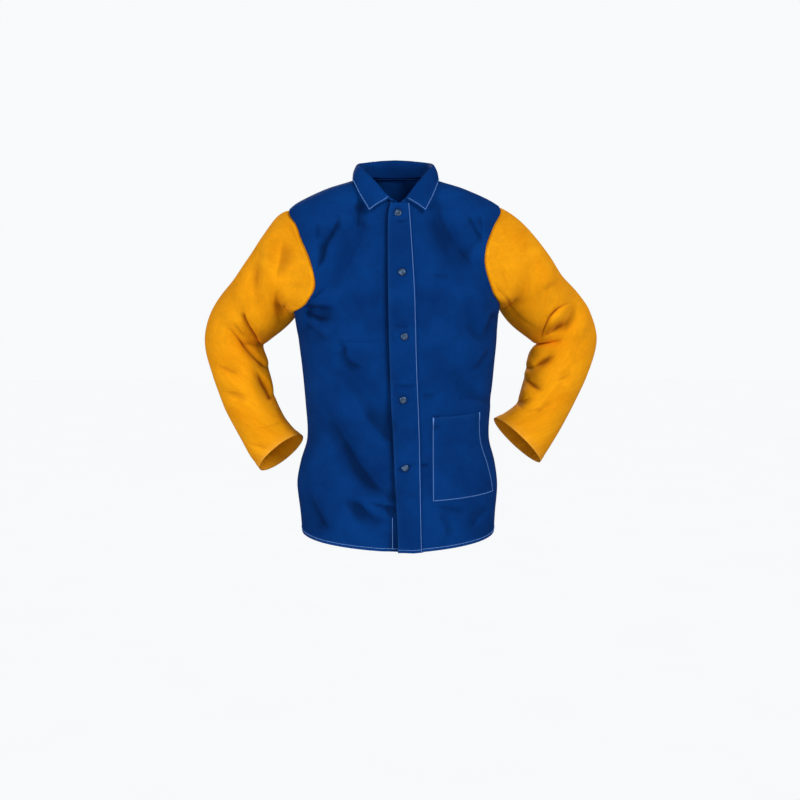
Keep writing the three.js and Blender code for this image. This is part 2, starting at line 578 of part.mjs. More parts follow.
const cotton = 0x0d3b7c;
const leather = 0xe59a10;
const fronts = { left: frontGrid("left"), right: frontGrid("right") };
const back = backGrid();
const collar = collarGrid();
const cover = [];
for (let row = 0; row <= ROW.neck; row++) {
  const right = fronts.right[row];
  const left = fronts.left[row];
  const copy = (place) => ({ point: place.point.clone(), normal: place.normal });
  cover.push([copy(right[1]), copy(right[0]), copy(left[0]), copy(left[1])]);
}
const patch = [];
for (let row = ROW.pocketBottom; row <= ROW.pocketTop; row++) {
  const places = fronts.left[row].slice(2, 3 + COLUMNS.pocket);
  patch.push(places.map((place) => ({ point: place.point.clone(), normal: place.normal })));
}
for (const side of ["left", "right"]) {
  pullPanel(fronts[side]);
  const panel = side === "left" ? fronts.left : fronts.right.map((row) => [...row].reverse());
  part.add(wall(`front_${side}`, panel, CLOTH, material(cotton)));
  const sleeve = sleeveGrid(side);
  const upper = sleeve.slice(0, ELBOW_ROW + 1);
  const elbow = sleeve[ELBOW_ROW].map((place) => ({ point: place.point.clone(), normal: place.normal }));
  const lower = [elbow, ...sleeve.slice(ELBOW_ROW + 1)];
  pullBorder(upper[ELBOW_ROW], upper[ELBOW_ROW - 1]);
  pullBorder(lower[0], lower[1]);
  part.add(wall(`sleeve_${side}_upper`, upper, LEATHER, material(leather), { closed: true }));
  part.add(wall(`sleeve_${side}_lower`, lower, LEATHER, material(leather), { closed: true }));
}
pullPanel(back);
part.add(wall("back_panel", back, CLOTH, material(cotton)));
part.add(wall("placket", cover, CLOTH, material(cotton), { lift: LAYER_GAP + CLOTH }));
part.add(wall("pocket", patch, CLOTH, material(cotton), { lift: LAYER_GAP + CLOTH }));
part.add(wall("collar", collar, CLOTH, material(cotton)));

// Snap caps, seated on the placket.
const profile = [
  new THREE.Vector2(0, 0),
  new THREE.Vector2(SNAP.radius, 0),
  new THREE.Vector2(SNAP.radius, SNAP.rim),
  new THREE.Vector2(SNAP.shoulder, SNAP.step),
  new THREE.Vector2(SNAP.crown, SNAP.height * 0.85),
  new THREE.Vector2(0, SNAP.height),
];
SNAPS.forEach(({ x, z }, n) => {
  const above = cover.findIndex((places) => places[0].point.z > z);
  const [low, high] = [cover[above - 1], cover[above]].map(([edge, meet]) => {
    const share = (x - edge.point.x) / (meet.point.x - edge.point.x);
    return edge.point.clone().lerp(meet.point, share);
  });
  const across = cover[above][1].point.clone().sub(cover[above][0].point);
  const facing = across.cross(high.clone().sub(low)).normalize();
  const cap = new THREE.Mesh(new THREE.LatheGeometry(profile, 12), material(0x4a4d52, 0.8, 0.4));
  cap.name = `snap_${n + 1}`;
  cap.position.copy(low.lerp(high, (z - low.z) / (high.z - low.z)));
  cap.position.addScaledVector(facing, CLOTH + LAYER_GAP + SNAP.seat);
  cap.quaternion.setFromUnitVectors(new THREE.Vector3(0, 1, 0), facing);
  part.add(cap);
});

export default part;
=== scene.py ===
# %% [markdown]
# # A welding jacket
# The jacket is sewn from blue cotton twill, with two sleeves of golden split leather, a turned-down
# collar, a snap placket and one patch pocket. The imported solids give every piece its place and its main
# form. This lesson lays a finer sheet over each of them, sews the sheets together, and finishes them.

# %% Load the solids
import math

import bpy
import numpy as np
from mathutils import Matrix, Vector


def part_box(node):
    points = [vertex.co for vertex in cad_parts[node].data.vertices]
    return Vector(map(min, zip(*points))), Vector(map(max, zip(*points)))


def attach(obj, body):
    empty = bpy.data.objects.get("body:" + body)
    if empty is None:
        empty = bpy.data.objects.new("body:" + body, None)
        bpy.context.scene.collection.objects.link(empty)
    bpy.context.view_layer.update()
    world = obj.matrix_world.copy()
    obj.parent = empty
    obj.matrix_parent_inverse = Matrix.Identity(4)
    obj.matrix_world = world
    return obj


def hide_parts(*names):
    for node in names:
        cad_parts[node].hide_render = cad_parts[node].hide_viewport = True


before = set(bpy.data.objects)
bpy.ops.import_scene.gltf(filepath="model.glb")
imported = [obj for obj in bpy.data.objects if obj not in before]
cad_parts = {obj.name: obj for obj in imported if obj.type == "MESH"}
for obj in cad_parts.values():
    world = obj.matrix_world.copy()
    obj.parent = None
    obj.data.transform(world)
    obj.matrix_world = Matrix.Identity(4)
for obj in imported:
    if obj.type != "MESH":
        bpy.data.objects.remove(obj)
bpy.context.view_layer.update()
MM = 0.001
print("solids:", ", ".join(sorted(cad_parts)))

# %% [markdown]
# ## Reading a table as a smooth curve
# A tailor draws a pattern from a few measured stations and joins them with a French curve. Blender could
# do the same with a curve object, but the panels need the curve's value at thousands of places at once.
# So a short table holds the stations, and one function reads a smooth line through them.

# %% Tables and smooth lines
QUARTER = math.pi / 2


def table(columns, *rows):
    """Rows of numbers under named columns."""
    return dict(zip(columns.split(), np.array(rows, float).T))


def smooth(knots, values, at):
    """A smooth line through values at knots, read at any places."""
    order = np.argsort(knots)
    knots = np.asarray(knots, float)[order]
    values = np.asarray(values, float)[order]
    at = np.clip(np.asarray(at, float), knots[0], knots[-1])
    before = np.maximum(np.arange(len(knots)) - 1, 0)
    after = np.minimum(np.arange(len(knots)) + 1, len(knots) - 1)
    tail = (1,) * (values.ndim - 1)
    slope = (values[after] - values[before]) / (knots[after] - knots[before]).reshape(-1, *tail)
    low = np.clip(np.searchsorted(knots, at, side="right") - 1, 0, len(knots) - 2)
    span = (knots[low + 1] - knots[low]).reshape(at.shape + tail)
    t = (at - knots[low]).reshape(at.shape + tail) / span
    ease = t * t * (3 - 2 * t)
    bend = t * (1 - t) ** 2 * slope[low] + t * t * (t - 1) * slope[low + 1]
    return values[low] * (1 - ease) + values[low + 1] * ease + span * bend


def read(tab, key, at, by="z"):
    return smooth(tab[by], tab[key], at)


def step(value, low, high):
    """0 below low, 1 above high, and a smooth rise between."""
    t = np.clip((np.asarray(value, float) - low) / (high - low), 0, 1)
    return t * t * (3 - 2 * t)


def bump(value, width, at=0):
    """1 at one place, falling away on both sides like a bell."""
    return np.exp(-(((value - at) / width) ** 2))


def fade(distance, width):
    """1 at an edge, dying away from it."""
    return np.exp(-distance / width)


def mix(a, b, share):
    return a + (b - a) * share


def unit(vectors):
    return vectors / np.maximum(np.linalg.norm(vectors, axis=-1, keepdims=True), 1e-12)


def lengths(points):
    """Distance along a line of points, from its start."""
    steps = np.linalg.norm(np.diff(points, axis=0), axis=-1)
    return np.concatenate([[0], np.cumsum(steps)])


def even(points, shares):
    """Places along a smooth line through points, at shares of its length."""
    knots = lengths(points)
    dense = smooth(knots, points, np.linspace(0, knots[-1], 600))
    run = lengths(dense)
    return smooth(run, dense, np.asarray(shares) * run[-1])


print("a smooth line through 0, 1, 4 reads", smooth([0, 1, 2], [0, 1, 4], 1.5), "between the last two")

# %% [markdown]
# ## The pattern in millimetres
# These are the jacket's own measures, the same that its solids are made from: torso sections by height,
# the placket, the armholes, the arm sections, the collar, and the folds that the worn cloth keeps. Only the
# hem at the side seams is drawn a little higher here.

# %% Measures of the body
HEM_MIDDLE, HEM_SIDE = -757, -733
POCKET = {"bottom": -658, "top": -490, "rise": 16, "inner": 64, "tuck": 0.54, "spread": 0.7}
ARMPIT_LEVEL = -258
NECK = {"half": 74, "middle": -10, "side": -2, "drop": 58, "curve": 1.3, "rise": 8, "shift": 5}
ROW = {"pocket_bottom": 3, "pocket_top": 8, "armpit": 15, "neck": 20, "shoulder": 26}
COLUMN = {"edge": 0, "cover": 1, "inner": 2, "outer": 6, "rim": 9}
BACK_NECK_COLUMNS = 8

TORSO = table(
    "z mid half front back square",
    (-760, -4, 200, 144, 138, 2.4),
    (-706, -5, 204, 143, 135, 2.4),
    (-640, -6, 210, 139, 129, 2.4),
    (-590, -5, 203, 133, 121, 2.35),
    (-540, -4, 190, 129, 115, 2.3),
    (-470, -4, 193, 129, 114, 2.25),
    (-400, -4, 199, 131, 117, 2.2),
    (-336, -5, 206, 133, 122, 2.2),
    (-286, -7, 212, 133, 126, 2.15),
    (-230, -8, 218, 131, 129, 2.1),
    (-170, -9, 221, 125, 130, 2.05),
    (-120, -10, 222, 114, 127, 2),
    (-90, -10, 222, 105, 121, 2),
    (-68, -10, 218, 97, 115, 2),
    (-55, -10, 205, 92, 110, 2),
    (-38, -10, 173, 84, 103, 2),
    (-22, -10, 135, 77, 96, 2),
    (-10, -10, 95, 72, 90, 2),
    (-2, -10, 74, 68, 86, 2),
    (10, -10, 50, 62, 78, 2),
)
PLACKET = table(
    "z edge meet stitch",
    (-760, -13, 26, 46),
    (-530, -14, 20, 38),
    (-380, -20, 13, 31),
    (-233, -23, 7, 25),
    (-86, -23, 2, 17),
    (-60, -18, 0, 15),
)
print("torso sections:", len(TORSO["z"]), " placket stations:", len(PLACKET["z"]))

# %% Measures of the armholes, sleeves and collar
ARMPIT = {"right": -280, "left": -266}
SHOULDER_TIP = {"right": -70, "left": -63}
ARMHOLES = {
    "right": table(
        "z front back",
        (-266, 190, 207),
        (-243, 172, 198),
        (-216, 165, 194),
        (-171, 175, 194),
        (-127, 193, 201),
        (-98, 206, 209),
    ),
    "left": table(
        "z front back",
        (-246, 203, 206),
        (-212, 190, 197),
        (-180, 182, 193),
        (-155, 183, 195),
        (-126, 193, 201),
        (-97, 206, 209),
    ),
}
SLEEVES = {
    "right": table(
        "x y z half deep",
        (-236, 28, -182, 75, 80),
        (-290, 62, -250, 74, 74),
        (-342, 93, -302, 68, 68),
        (-361, 104, -345, 62, 66),
        (-346, 87, -402, 59, 61),
        (-324, 62, -468, 53, 57),
        (-295, 38, -521, 50, 55),
        (-274, 24, -551, 52, 54),
        (-251, 13, -575, 55, 54),
    ),
    "left": table(
        "x y z half deep",
        (238, 40, -180, 71, 80),
        (288, 82, -247, 74, 74),
        (342, 120, -296, 70, 68),
        (367, 135, -340, 64, 66),
        (347, 118, -392, 66, 62),
        (325, 92, -448, 59, 58),
        (299, 68, -502, 53, 56),
        (275, 56, -530, 58, 56),
        (251, 50, -553, 66, 56),
    ),
}
SLEEVE_ROWS = 24
SLEEVE_BLEND, NORMAL_BLEND, FOLD_BLEND = 0.2, 0.12, (0.02, 0.15)
SLEEVE_EASE = 0.11
UNDERARM_PUSH = 10
COLLAR = table(
    "at rollX rollY rollZ edgeX edgeY edgeZ",
    (14, 18, -94, -51, 56, -105, -77),
    (45, 48, -74, -13, 73, -88, -45),
    (70, 71, -42, 13, 85, -53, -14),
    (90, 77, 2, 25, 86, 4, -3),
    (125, 64, 52, 34, 78, 64, -6),
    (155, 30, 74, 40, 40, 91, -8),
    (180, 0, 79, 42, 0, 98, -9),
)
COLLAR_FOLD = 2.8
print("arm sections:", len(SLEEVES["left"]["x"]), " collar stations:", len(COLLAR["at"]))

# %% [markdown]
# ## Folds
# Cloth that is worn keeps a set of folds: drag lines from the armholes, sagging diagonals over the belly,
# deep creases inside the elbows. Each row of these tables is one fold as seen from the front (face -1) or
# the back (face 1): its start, its end, how far it bows, its half width and its depth. A fold is a valley
# with two soft lips.

# %% The folds of body and sleeves
BODY_FOLDS = [
    (-1, -112, -108, -163, -228, 16, 17, 8),
    (-1, -168, -100, -172, -180, 4, 16, 4),
    (-1, -62, -100, -98, -170, -6, 24, 4),
    (-1, -196, -278, -120, -292, -6, 15, 6),
    (-1, -150, -380, -18, -520, 10, 28, 8),
    (-1, -110, -530, -20, -640, -8, 26, 6),
    (-1, -120, -650, -70, -705, 6, 20, 5),
    (-1, 168, -122, 142, -170, -6, 16, 6),
    (-1, 92, -70, 112, -165, -8, 24, 4),
    (-1, 190, -340, 130, -296, 6, 17, 6),
    (-1, 175, -430, 90, -395, 8, 26, 5),
    (1, -150, -190, -60, -430, -20, 30, 8),
    (1, 145, -190, 70, -450, 22, 30, 8),
    (1, -110, -470, 60, -520, 10, 30, 7),
    (1, -95, -600, -80, -760, 4, 26, 6),
    (1, 70, -570, 90, -760, -6, 28, 7),
]
SLEEVE_FOLDS = {
    "right": [
        (-1, -340, -268, -288, -346, -8, 15, 9),
        (-1, -372, -302, -284, -398, 8, 15, 9),
        (-1, -259, -235, -246, -290, 3, 13, 7),
        (-1, -296, -160, -290, -280, -6, 20, 5),
        (-1, -300, -402, -270, -462, -4, 14, 7),
        (-1, -390, -388, -330, -414, 4, 16, 5),
        (-1, -375, -445, -315, -470, 4, 16, 5),
        (-1, -320, -545, -270, -560, 4, 14, 4),
        (1, -290, -180, -340, -300, 10, 22, 6),
        (1, -395, -350, -330, -385, 8, 18, 6),
    ],
    "left": [
        (-1, 372, -250, 310, -338, 22, 15, 11),
        (-1, 352, -306, 318, -328, -4, 13, 6),
        (-1, 336, -372, 286, -392, -5, 15, 8),
        (-1, 374, -404, 332, -422, -5, 16, 5),
        (-1, 270, -420, 300, -448, 6, 15, 7),
        (-1, 330, -465, 285, -490, -4, 15, 5),
        (-1, 262, -160, 268, -250, 6, 20, 5),
        (1, 290, -180, 350, -300, -10, 22, 6),
        (1, 400, -350, 330, -385, -8, 18, 6),
    ],
}
FOLD_STEPS = 24
FOLD_LIP = {"height": 0.45, "at": 1.9}
FOLD_END, FOLD_FACING = 0.25, (0.05, 0.4)


def fold_line(start, end, bow):
    """A bowed line of points in the front view."""
    aside = np.array([start[1] - end[1], end[0] - start[0]]) / np.hypot(*(end - start))
    bend = (start + end) / 2 + 2 * bow * aside
    t = np.linspace(0, 1, FOLD_STEPS + 1)[:, None]
    return (1 - t) ** 2 * start + 2 * t * (1 - t) * bend + t**2 * end


def fold_height(points, normals, folds):
    """How far the folds push each point along its normal."""
    height = np.zeros(points.shape[:-1])
    here = points[..., [0, 2]]
    for face, x0, z0, x1, z1, bow, width, depth in folds:
        line = fold_line(np.array([x0, z0], float), np.array([x1, z1], float), bow)
        nearest = np.full(height.shape, np.inf)
        where = np.zeros(height.shape)
        for k in range(FOLD_STEPS):
            run = line[k + 1] - line[k]
            share = np.clip(((here - line[k]) @ run) / (run @ run), 0, 1)
            gap = np.linalg.norm(here - line[k] - share[..., None] * run, axis=-1)
            closer = gap < nearest
            nearest = np.where(closer, gap, nearest)
            where = np.where(closer, (k + share) / FOLD_STEPS, where)
        valley = bump(nearest, width)
        lips = FOLD_LIP["height"] * bump(nearest / width, 1, FOLD_LIP["at"])
        ends = FOLD_END + (1 - FOLD_END) * np.sin(np.pi * where)
        height += step(normals[..., 1] * face, *FOLD_FACING) * ends * depth * (lips - valley)
    return height


print("folds:", len(BODY_FOLDS), "on the body,", sum(map(len, SLEEVE_FOLDS.values())), "on the sleeves")

# %% [markdown]
# ## The body surface
# A worn jacket body is a tube. A cloth simulation over a dummy could find it, but then nothing would sit
# where the solids are. Here a point of the tube comes from its turn round the body (0 in front, a quarter
# at the side of the left sleeve) and its height, so every panel is a patch of turns and heights.


# %% Points of the body
TURN_STEP, HEIGHT_STEP = 0.01, 0.5


def torso(turn, z):
    power = 2 / read(TORSO, "square", z)
    across, along = np.sin(turn), np.cos(turn)
    deep = np.where(along > 0, -read(TORSO, "front", z), read(TORSO, "back", z))
    half = read(TORSO, "half", z) * np.sign(across) * np.abs(across) ** power
    return np.stack([read(TORSO, "mid", z) + half, deep * np.abs(along) ** power, z + 0 * half], -1)


def turn_at(x, z):
    """The turn at which the front of the body passes through x."""
    share = np.clip((x - read(TORSO, "mid", z)) / read(TORSO, "half", z), -1, 1)
    return np.arcsin(np.sign(share) * np.abs(share) ** (read(TORSO, "square", z) / 2))


def draped(turn, z):
    """Points and outward normals of the worn body."""
    turn, z = np.broadcast_arrays(np.asarray(turn, float), np.asarray(z, float))
    around = torso(turn + TURN_STEP, z) - torso(turn - TURN_STEP, z)
    upward = torso(turn, z + HEIGHT_STEP) - torso(turn, z - HEIGHT_STEP)
    normals = unit(np.cross(around, upward))
    points = torso(turn, z)
    return points + normals * fold_height(points, normals, BODY_FOLDS)[..., None], normals


print("waist is", round(2 * min(TORSO["half"][TORSO["z"] < ARMPIT_LEVEL])), "mm wide")


# %% Edges of the panels
TURN_SCALE = 200
SIGN = {"left": 1, "right": -1}
NECK_START = math.radians(6)
SHOULDER_SHARES = {"cover": 0.12, "inner": 0.3, "outer": 0.62}
RIGHT_INNER = 12
LEAST_SHARE = 0.05


def armhole_line(side, part):
    """The armhole as turns and heights, from the armpit to the shoulder tip."""
    rows = ARMHOLES[side]
    turns = turn_at(read(TORSO, "mid", rows["z"]) + rows[part], rows["z"])
    if part == "back":
        turns = math.pi - turns
    inner = np.stack([turns * TURN_SCALE, rows["z"]], -1)
    ends = [[QUARTER * TURN_SCALE, ARMPIT[side]]], [[QUARTER * TURN_SCALE, SHOULDER_TIP[side]]]
    return np.concatenate([ends[0], inner, ends[1]])


def level_height(row, hem, rise, top):
    stations = [0, ROW["pocket_bottom"], ROW["pocket_top"], ROW["armpit"]]
    return np.interp(row, stations, [hem, POCKET["bottom"] + rise, POCKET["top"] + rise, top])


def side_edge(side, part, row):
    """Turn and height of a panel's side at a row: side seam, then armhole."""
    sign = SIGN[side]
    if row <= ROW["armpit"]:
        return sign * QUARTER, float(level_height(row, HEM_SIDE, POCKET["rise"], ARMPIT[side]))
    share = (row - ROW["armpit"]) / (ROW["shoulder"] - ROW["armpit"])
    turn, z = even(armhole_line(side, part), share)
    return sign * turn / TURN_SCALE, z


def neckline(angle, sign):
    across, along = math.sin(angle), math.cos(angle)
    drop = NECK["drop"] * max(along, 0) ** NECK["curve"]
    z = NECK["side"] - drop + NECK["rise"] * max(-along, 0)
    x = read(TORSO, "mid", z) + NECK["shift"] * max(along, 0) + sign * NECK["half"] * across
    turn = turn_at(x, z)
    return (turn if along > 0 else math.pi - turn), z


def front_edge(side, row):
    """Turn and height of a front's edge: the line under the placket, then the neckline."""
    sign = SIGN[side]
    top = NECK["side"] - NECK["drop"]
    if row > ROW["neck"]:
        share = (row - ROW["neck"]) / (ROW["shoulder"] - ROW["neck"])
        turn, z = neckline(mix(NECK_START, QUARTER, share), sign)
        return mix(turn, front_edge(side, ROW["neck"])[0], (1 - share) ** 3), z
    upper = (row - ROW["armpit"]) / (ROW["neck"] - ROW["armpit"])
    z = mix(ARMPIT_LEVEL, top, upper) if upper > 0 else level_height(row, HEM_MIDDLE, 0, ARMPIT_LEVEL)
    return turn_at(read(PLACKET, "meet", z), z), z


def guide_shares(side, row):
    """Shares of the way from front edge to side where placket edge and pocket edges lie."""
    sign = SIGN[side]
    turn, z = front_edge(side, min(row, ROW["neck"]))
    rim = side_edge(side, "front", min(row, ROW["neck"]))[0]
    share = lambda x: (turn_at(x, z) - turn) / (rim - turn)
    upper = step(row, ROW["pocket_top"], ROW["shoulder"])
    over = step(row, ROW["neck"], ROW["shoulder"])
    cover = share(read(PLACKET, "stitch" if sign > 0 else "edge", z))
    cover = mix(cover, SHOULDER_SHARES["cover"], over)
    inner = share(sign * POCKET["inner"] - (RIGHT_INNER if sign < 0 else 0))
    inner = mix(inner, SHOULDER_SHARES["inner"], upper)
    level = np.clip((z - POCKET["bottom"]) / (POCKET["top"] - POCKET["bottom"]), 0, 1)
    outer = inner + (1 - inner) * mix(POCKET["spread"], POCKET["tuck"], level)
    outer = mix(outer, SHOULDER_SHARES["outer"], upper)
    return [0, cover, max(inner, cover + LEAST_SHARE), outer, 1]


print("left armpit at", round(side_edge("left", "front", ROW["armpit"])[1]), "mm")

# %% [markdown]
# ## Panels as grids
# Each panel is a net of rows and columns over the body, as cloth is a net of threads. The nets of the two
# fronts, the back and the sleeves share their points along every seam, so that they can be sewn together.

# %% Nets of the fronts and the back
ROW_PARTS, COLUMN_PARTS = 4, 3
BACK_RISE = {"turn": 4, "spare": 0.55, "arch": 0.7, "late": 3, "lift": 0.8}


def front_net(side):
    columns = np.arange(COLUMN["rim"] * COLUMN_PARTS + 1) / COLUMN_PARTS
    turns, heights = [], []
    for k in range(ROW["shoulder"] * ROW_PARTS + 1):
        row = k / ROW_PARTS
        guides = guide_shares(side, row)
        shares = np.interp(columns, list(COLUMN.values()), guides)
        turn, z = front_edge(side, row)
        rim_turn, rim_z = side_edge(side, "front", row)
        rising = step(row, ROW["pocket_top"], ROW["armpit"]) - step(row, ROW["neck"], ROW["shoulder"])
        level = mix(shares, step(shares, guides[1], 1), rising)
        turns.append(mix(turn, rim_turn, shares))
        heights.append(mix(z, rim_z, level))
    return draped(np.array(turns), np.array(heights))


def back_top(k, shoulder):
    """Turn and height of the back's top edge: shoulder, neck, shoulder."""
    arm = COLUMN["rim"]
    last = 2 * arm + BACK_NECK_COLUMNS
    if k < arm:
        return QUARTER, mix(NECK["side"], SHOULDER_TIP["left"], shoulder(arm - k))
    if k > last - arm:
        return 3 * QUARTER, mix(NECK["side"], SHOULDER_TIP["right"], shoulder(k - last + arm))
    half = (k - arm) / BACK_NECK_COLUMNS
    turn, z = neckline(QUARTER + math.pi * min(half, 1 - half), 1)
    return (2 * math.pi - turn if half > 0.5 else turn), z


def back_net():
    guides = guide_shares("left", ROW["shoulder"])
    shoulder = lambda column: np.interp(column, list(COLUMN.values()), guides)
    last = 2 * COLUMN["rim"] + BACK_NECK_COLUMNS
    columns = np.arange(last * COLUMN_PARTS + 1) / COLUMN_PARTS
    top_turn, top_z = np.array([back_top(k, shoulder) for k in columns], float).T
    s = columns / last
    even_turn = mix(QUARTER, 3 * QUARTER, s)
    tip = mix(SHOULDER_TIP["left"], SHOULDER_TIP["right"], s)
    turns, heights = [], []
    for k in range(ROW["shoulder"] * ROW_PARTS + 1):
        up = k / ROW_PARTS / ROW["shoulder"]
        left_turn, left_z = side_edge("left", "back", k / ROW_PARTS)
        right_turn, right_z = side_edge("right", "back", k / ROW_PARTS)
        sides = mix(left_turn, right_turn + 2 * math.pi, s)
        turns.append(mix(even_turn, top_turn, up ** BACK_RISE["turn"]) + sides - even_turn)
        arch = np.abs(np.sin(np.pi * s)) ** BACK_RISE["arch"]
        spared = BACK_RISE["spare"] * arch * up ** BACK_RISE["late"]
        lift = up ** BACK_RISE["lift"] * (top_z - tip)
        heights.append(tip + (mix(left_z, right_z, s) - tip) * (1 - spared) + lift)
    return draped(np.array(turns), np.array(heights))


nets, faces_out = {}, {}
for side in ("left", "right"):
    nets[f"front_{side}"], faces_out[f"front_{side}"] = front_net(side)
nets["back_panel"], faces_out["back_panel"] = back_net()
for name, net in nets.items():
    print(name, "net of", net.shape[0], "by", net.shape[1])


# %% Nets of the sleeves
def armhole_ring(side):
    """Points and normals round the armhole, from the shoulder tip over the front."""
    steps = (ROW["shoulder"] - ROW["armpit"]) * ROW_PARTS
    spots = []
    for k in range(2 * steps):
        part = "front" if k <= steps else "back"
        row = ROW["shoulder"] - k / ROW_PARTS if k <= steps else ROW["armpit"] + (k - steps) / ROW_PARTS
        spots.append(side_edge(side, part, row))
    return draped(*np.array(spots).T)


def sleeve_net(side):
    ring, ring_normals = armhole_ring(side)
    rows = SLEEVES[side]
    stations = np.stack([rows["x"], rows["y"], rows["z"]], -1)
    start = ring.mean(0)
    line = np.concatenate([[start], stations])
    spots = lengths(line)
    places = spots[1:] / spots[-1]
    angle = 2 * math.pi * np.arange(len(ring)) / len(ring)
    net, normals = [], []
    for j in range(SLEEVE_ROWS * ROW_PARTS + 1):
        at = j / (SLEEVE_ROWS * ROW_PARTS)
        centre = even(line, at)
        along = unit(even(line, min(at + SLEEVE_EASE, 1)) - even(line, max(at - SLEEVE_EASE, 0)))
        ahead = unit(np.array([0, -1, 0]) + along * along[1])
        outer = np.cross(ahead, along) * SIGN[side]
        half = smooth(places, rows["half"], at)
        deep = smooth(places, rows["deep"], at)
        cos, sin = np.cos(angle)[:, None], np.sin(angle)[:, None]
        radial = unit(outer * cos / half + ahead * sin / deep)
        normal = unit(mix(ring_normals, radial, step(at, 0, NORMAL_BLEND)))
        arm = centre + outer * half * cos + ahead * deep * sin
        points = mix(ring + centre - start, arm, step(at, 0, SLEEVE_BLEND))
        push = UNDERARM_PUSH * (1 - cos) / 2 * math.sin(math.pi * min(at / SLEEVE_BLEND, 1))
        points = points + ring_normals * push
        height = fold_height(points, normal, SLEEVE_FOLDS[side]) * step(at, *FOLD_BLEND)
        net.append(points + normal * height[:, None])
        normals.append(normal)
    return np.array(net), np.array(normals)


for side in ("left", "right"):
    nets[f"sleeve_{side}"], faces_out[f"sleeve_{side}"] = sleeve_net(side)
    print(f"sleeve_{side} net of", *nets[f"sleeve_{side}"].shape[:2])

# %% [markdown]
# ## From a net to a sheet
# A net is read at finer rows and columns, with extra lines close to the seams, and every point can be
# raised or sunk a little. The surface becomes a mesh of quads whose UV map is the flat cloth in metres, so
# that the weave lies along the threads. The Solidify modifier then gives the cloth its thickness.

# %% Reading a net more finely
CLOSE_LINES = np.array([0.08, 0.2, 0.4, 0.65])


def lines(count, per_step, close_low=True, close_high=True):
    """Rows or columns to read: an even set, with extra ones close to the ends."""
    found = [np.linspace(0, count, int(count * per_step) + 1)]
    if close_low:
        found.append(CLOSE_LINES)
    if close_high:
        found.append(count - CLOSE_LINES)
    return np.unique(np.round(np.concatenate(found), 4))


def read_net(net, rows, columns, closed=False):
    """A net read at fractions of its rows and columns."""
    if closed:
        pad = 3
        net = np.concatenate([net[:, -pad:], net, net[:, : pad + 1]], 1)
        columns = np.asarray(columns) + pad
    by_row = smooth(np.arange(net.shape[0]), net, rows)
    flat = smooth(np.arange(net.shape[1]), np.swapaxes(by_row, 0, 1), columns)
    return np.swapaxes(flat, 0, 1)


def net_normals(points, guide, closed=False):
    """Unit normals of a net, on the side that the guide normals point to."""
    if closed:
        wide = np.concatenate([points[:, -2:-1], points, points[:, 1:2]], 1)
        across = wide[:, 2:] - wide[:, :-2]
    else:
        across = np.gradient(points, axis=1)
    normals = unit(np.cross(across, np.gradient(points, axis=0)))
    if np.sum(normals * guide) < 0:
        normals = -normals
    return normals


def run_lengths(points, axis):
    """For each point its distance along the row or column, from the start and from the end."""
    steps = np.linalg.norm(np.diff(points, axis=axis), axis=-1)
    run = np.cumsum(steps, axis=axis)
    zero = np.zeros_like(np.take(run, [0], axis=axis))
    run = np.concatenate([zero, run], axis=axis)
    return run, np.take(run, [-1], axis=axis) - run


print("a net step of 7 mm gets lines at", CLOSE_LINES * 7, "mm from its seam")


# %% Building the mesh of a sheet
HOLLOW_NEAR, HOLLOW_WIDE, WIDE_SHARE = 6, 50, 0.6
WELD = 1e-6
SOFT_EDGE = math.radians(50)


def select_only(obj):
    bpy.ops.object.select_all(action="DESELECT")
    obj.select_set(True)
    bpy.context.view_layer.objects.active = obj


def add_object(name, data):
    obj = bpy.data.objects.new(name, data)
    bpy.context.scene.collection.objects.link(obj)
    return obj


def edit_all(obj, operator, **settings):
    """Runs one edit mode operator on the whole of an object."""
    select_only(obj)
    bpy.ops.object.mode_set(mode="EDIT")
    bpy.ops.mesh.select_all(action="SELECT")
    operator(**settings)
    bpy.ops.object.mode_set(mode="OBJECT")


def hollows(points, normals, reach):
    """How deep each point lies below its neighbourhood, in millimetres."""
    soft = points
    for _ in range(reach):
        padded = np.pad(soft, ((1, 1), (1, 1), (0, 0)), mode="edge")
        soft = (padded[:-2, 1:-1] + padded[2:, 1:-1] + padded[1:-1, :-2] + padded[1:-1, 2:]) / 4
    return np.sum((soft - points) * normals, -1)


def sheet_object(name, points, normals, wear, painted_darkening=0, closed=False):
    """A sheet of quads over a net in millimetres, with a flat UV map in metres, wear and painted shade."""
    rows, columns = points.shape[:2]
    across, _ = run_lengths(points, 1)
    upward, _ = run_lengths(points, 0)
    flat = np.stack([across - across[:, columns // 2 : columns // 2 + 1], upward], -1) * MM
    index = np.arange(rows * columns).reshape(rows, columns)
    quads = np.stack([index[:-1, :-1], index[:-1, 1:], index[1:, 1:], index[1:, :-1]], -1)
    corner_uv = np.stack([flat[:-1, :-1], flat[:-1, 1:], flat[1:, 1:], flat[1:, :-1]], -2)
    crossed = np.cross(points[1, 1] - points[0, 0], points[1, 0] - points[0, 1])
    if np.dot(crossed, normals[0, 0]) < 0:
        quads = quads[..., ::-1]
        corner_uv = corner_uv[..., ::-1, :]
    mesh = bpy.data.meshes.new(name)
    mesh.from_pydata((points * MM).reshape(-1, 3), [], quads.reshape(-1, 4))
    uv = mesh.uv_layers.new(name="flat_cloth")
    uv.data.foreach_set("uv", corner_uv.astype(np.float32).ravel())
    near, wide = (hollows(points, normals, reach) for reach in (HOLLOW_NEAR, HOLLOW_WIDE))
    # painted shade: how deep a point lies below its neighbourhood, plus the extra painted darkening, later
    # darkens its colour
    depth = np.maximum(near, WIDE_SHARE * wide) + painted_darkening
    for key, values in (("painted_shade", depth), ("wear", wear)):
        layer = mesh.attributes.new(key, "FLOAT", "POINT")
        layer.data.foreach_set("value", values.astype(np.float32).ravel())
    obj = add_object(name, mesh)
    if closed:
        edit_all(obj, bpy.ops.mesh.remove_doubles, threshold=WELD)
    return obj


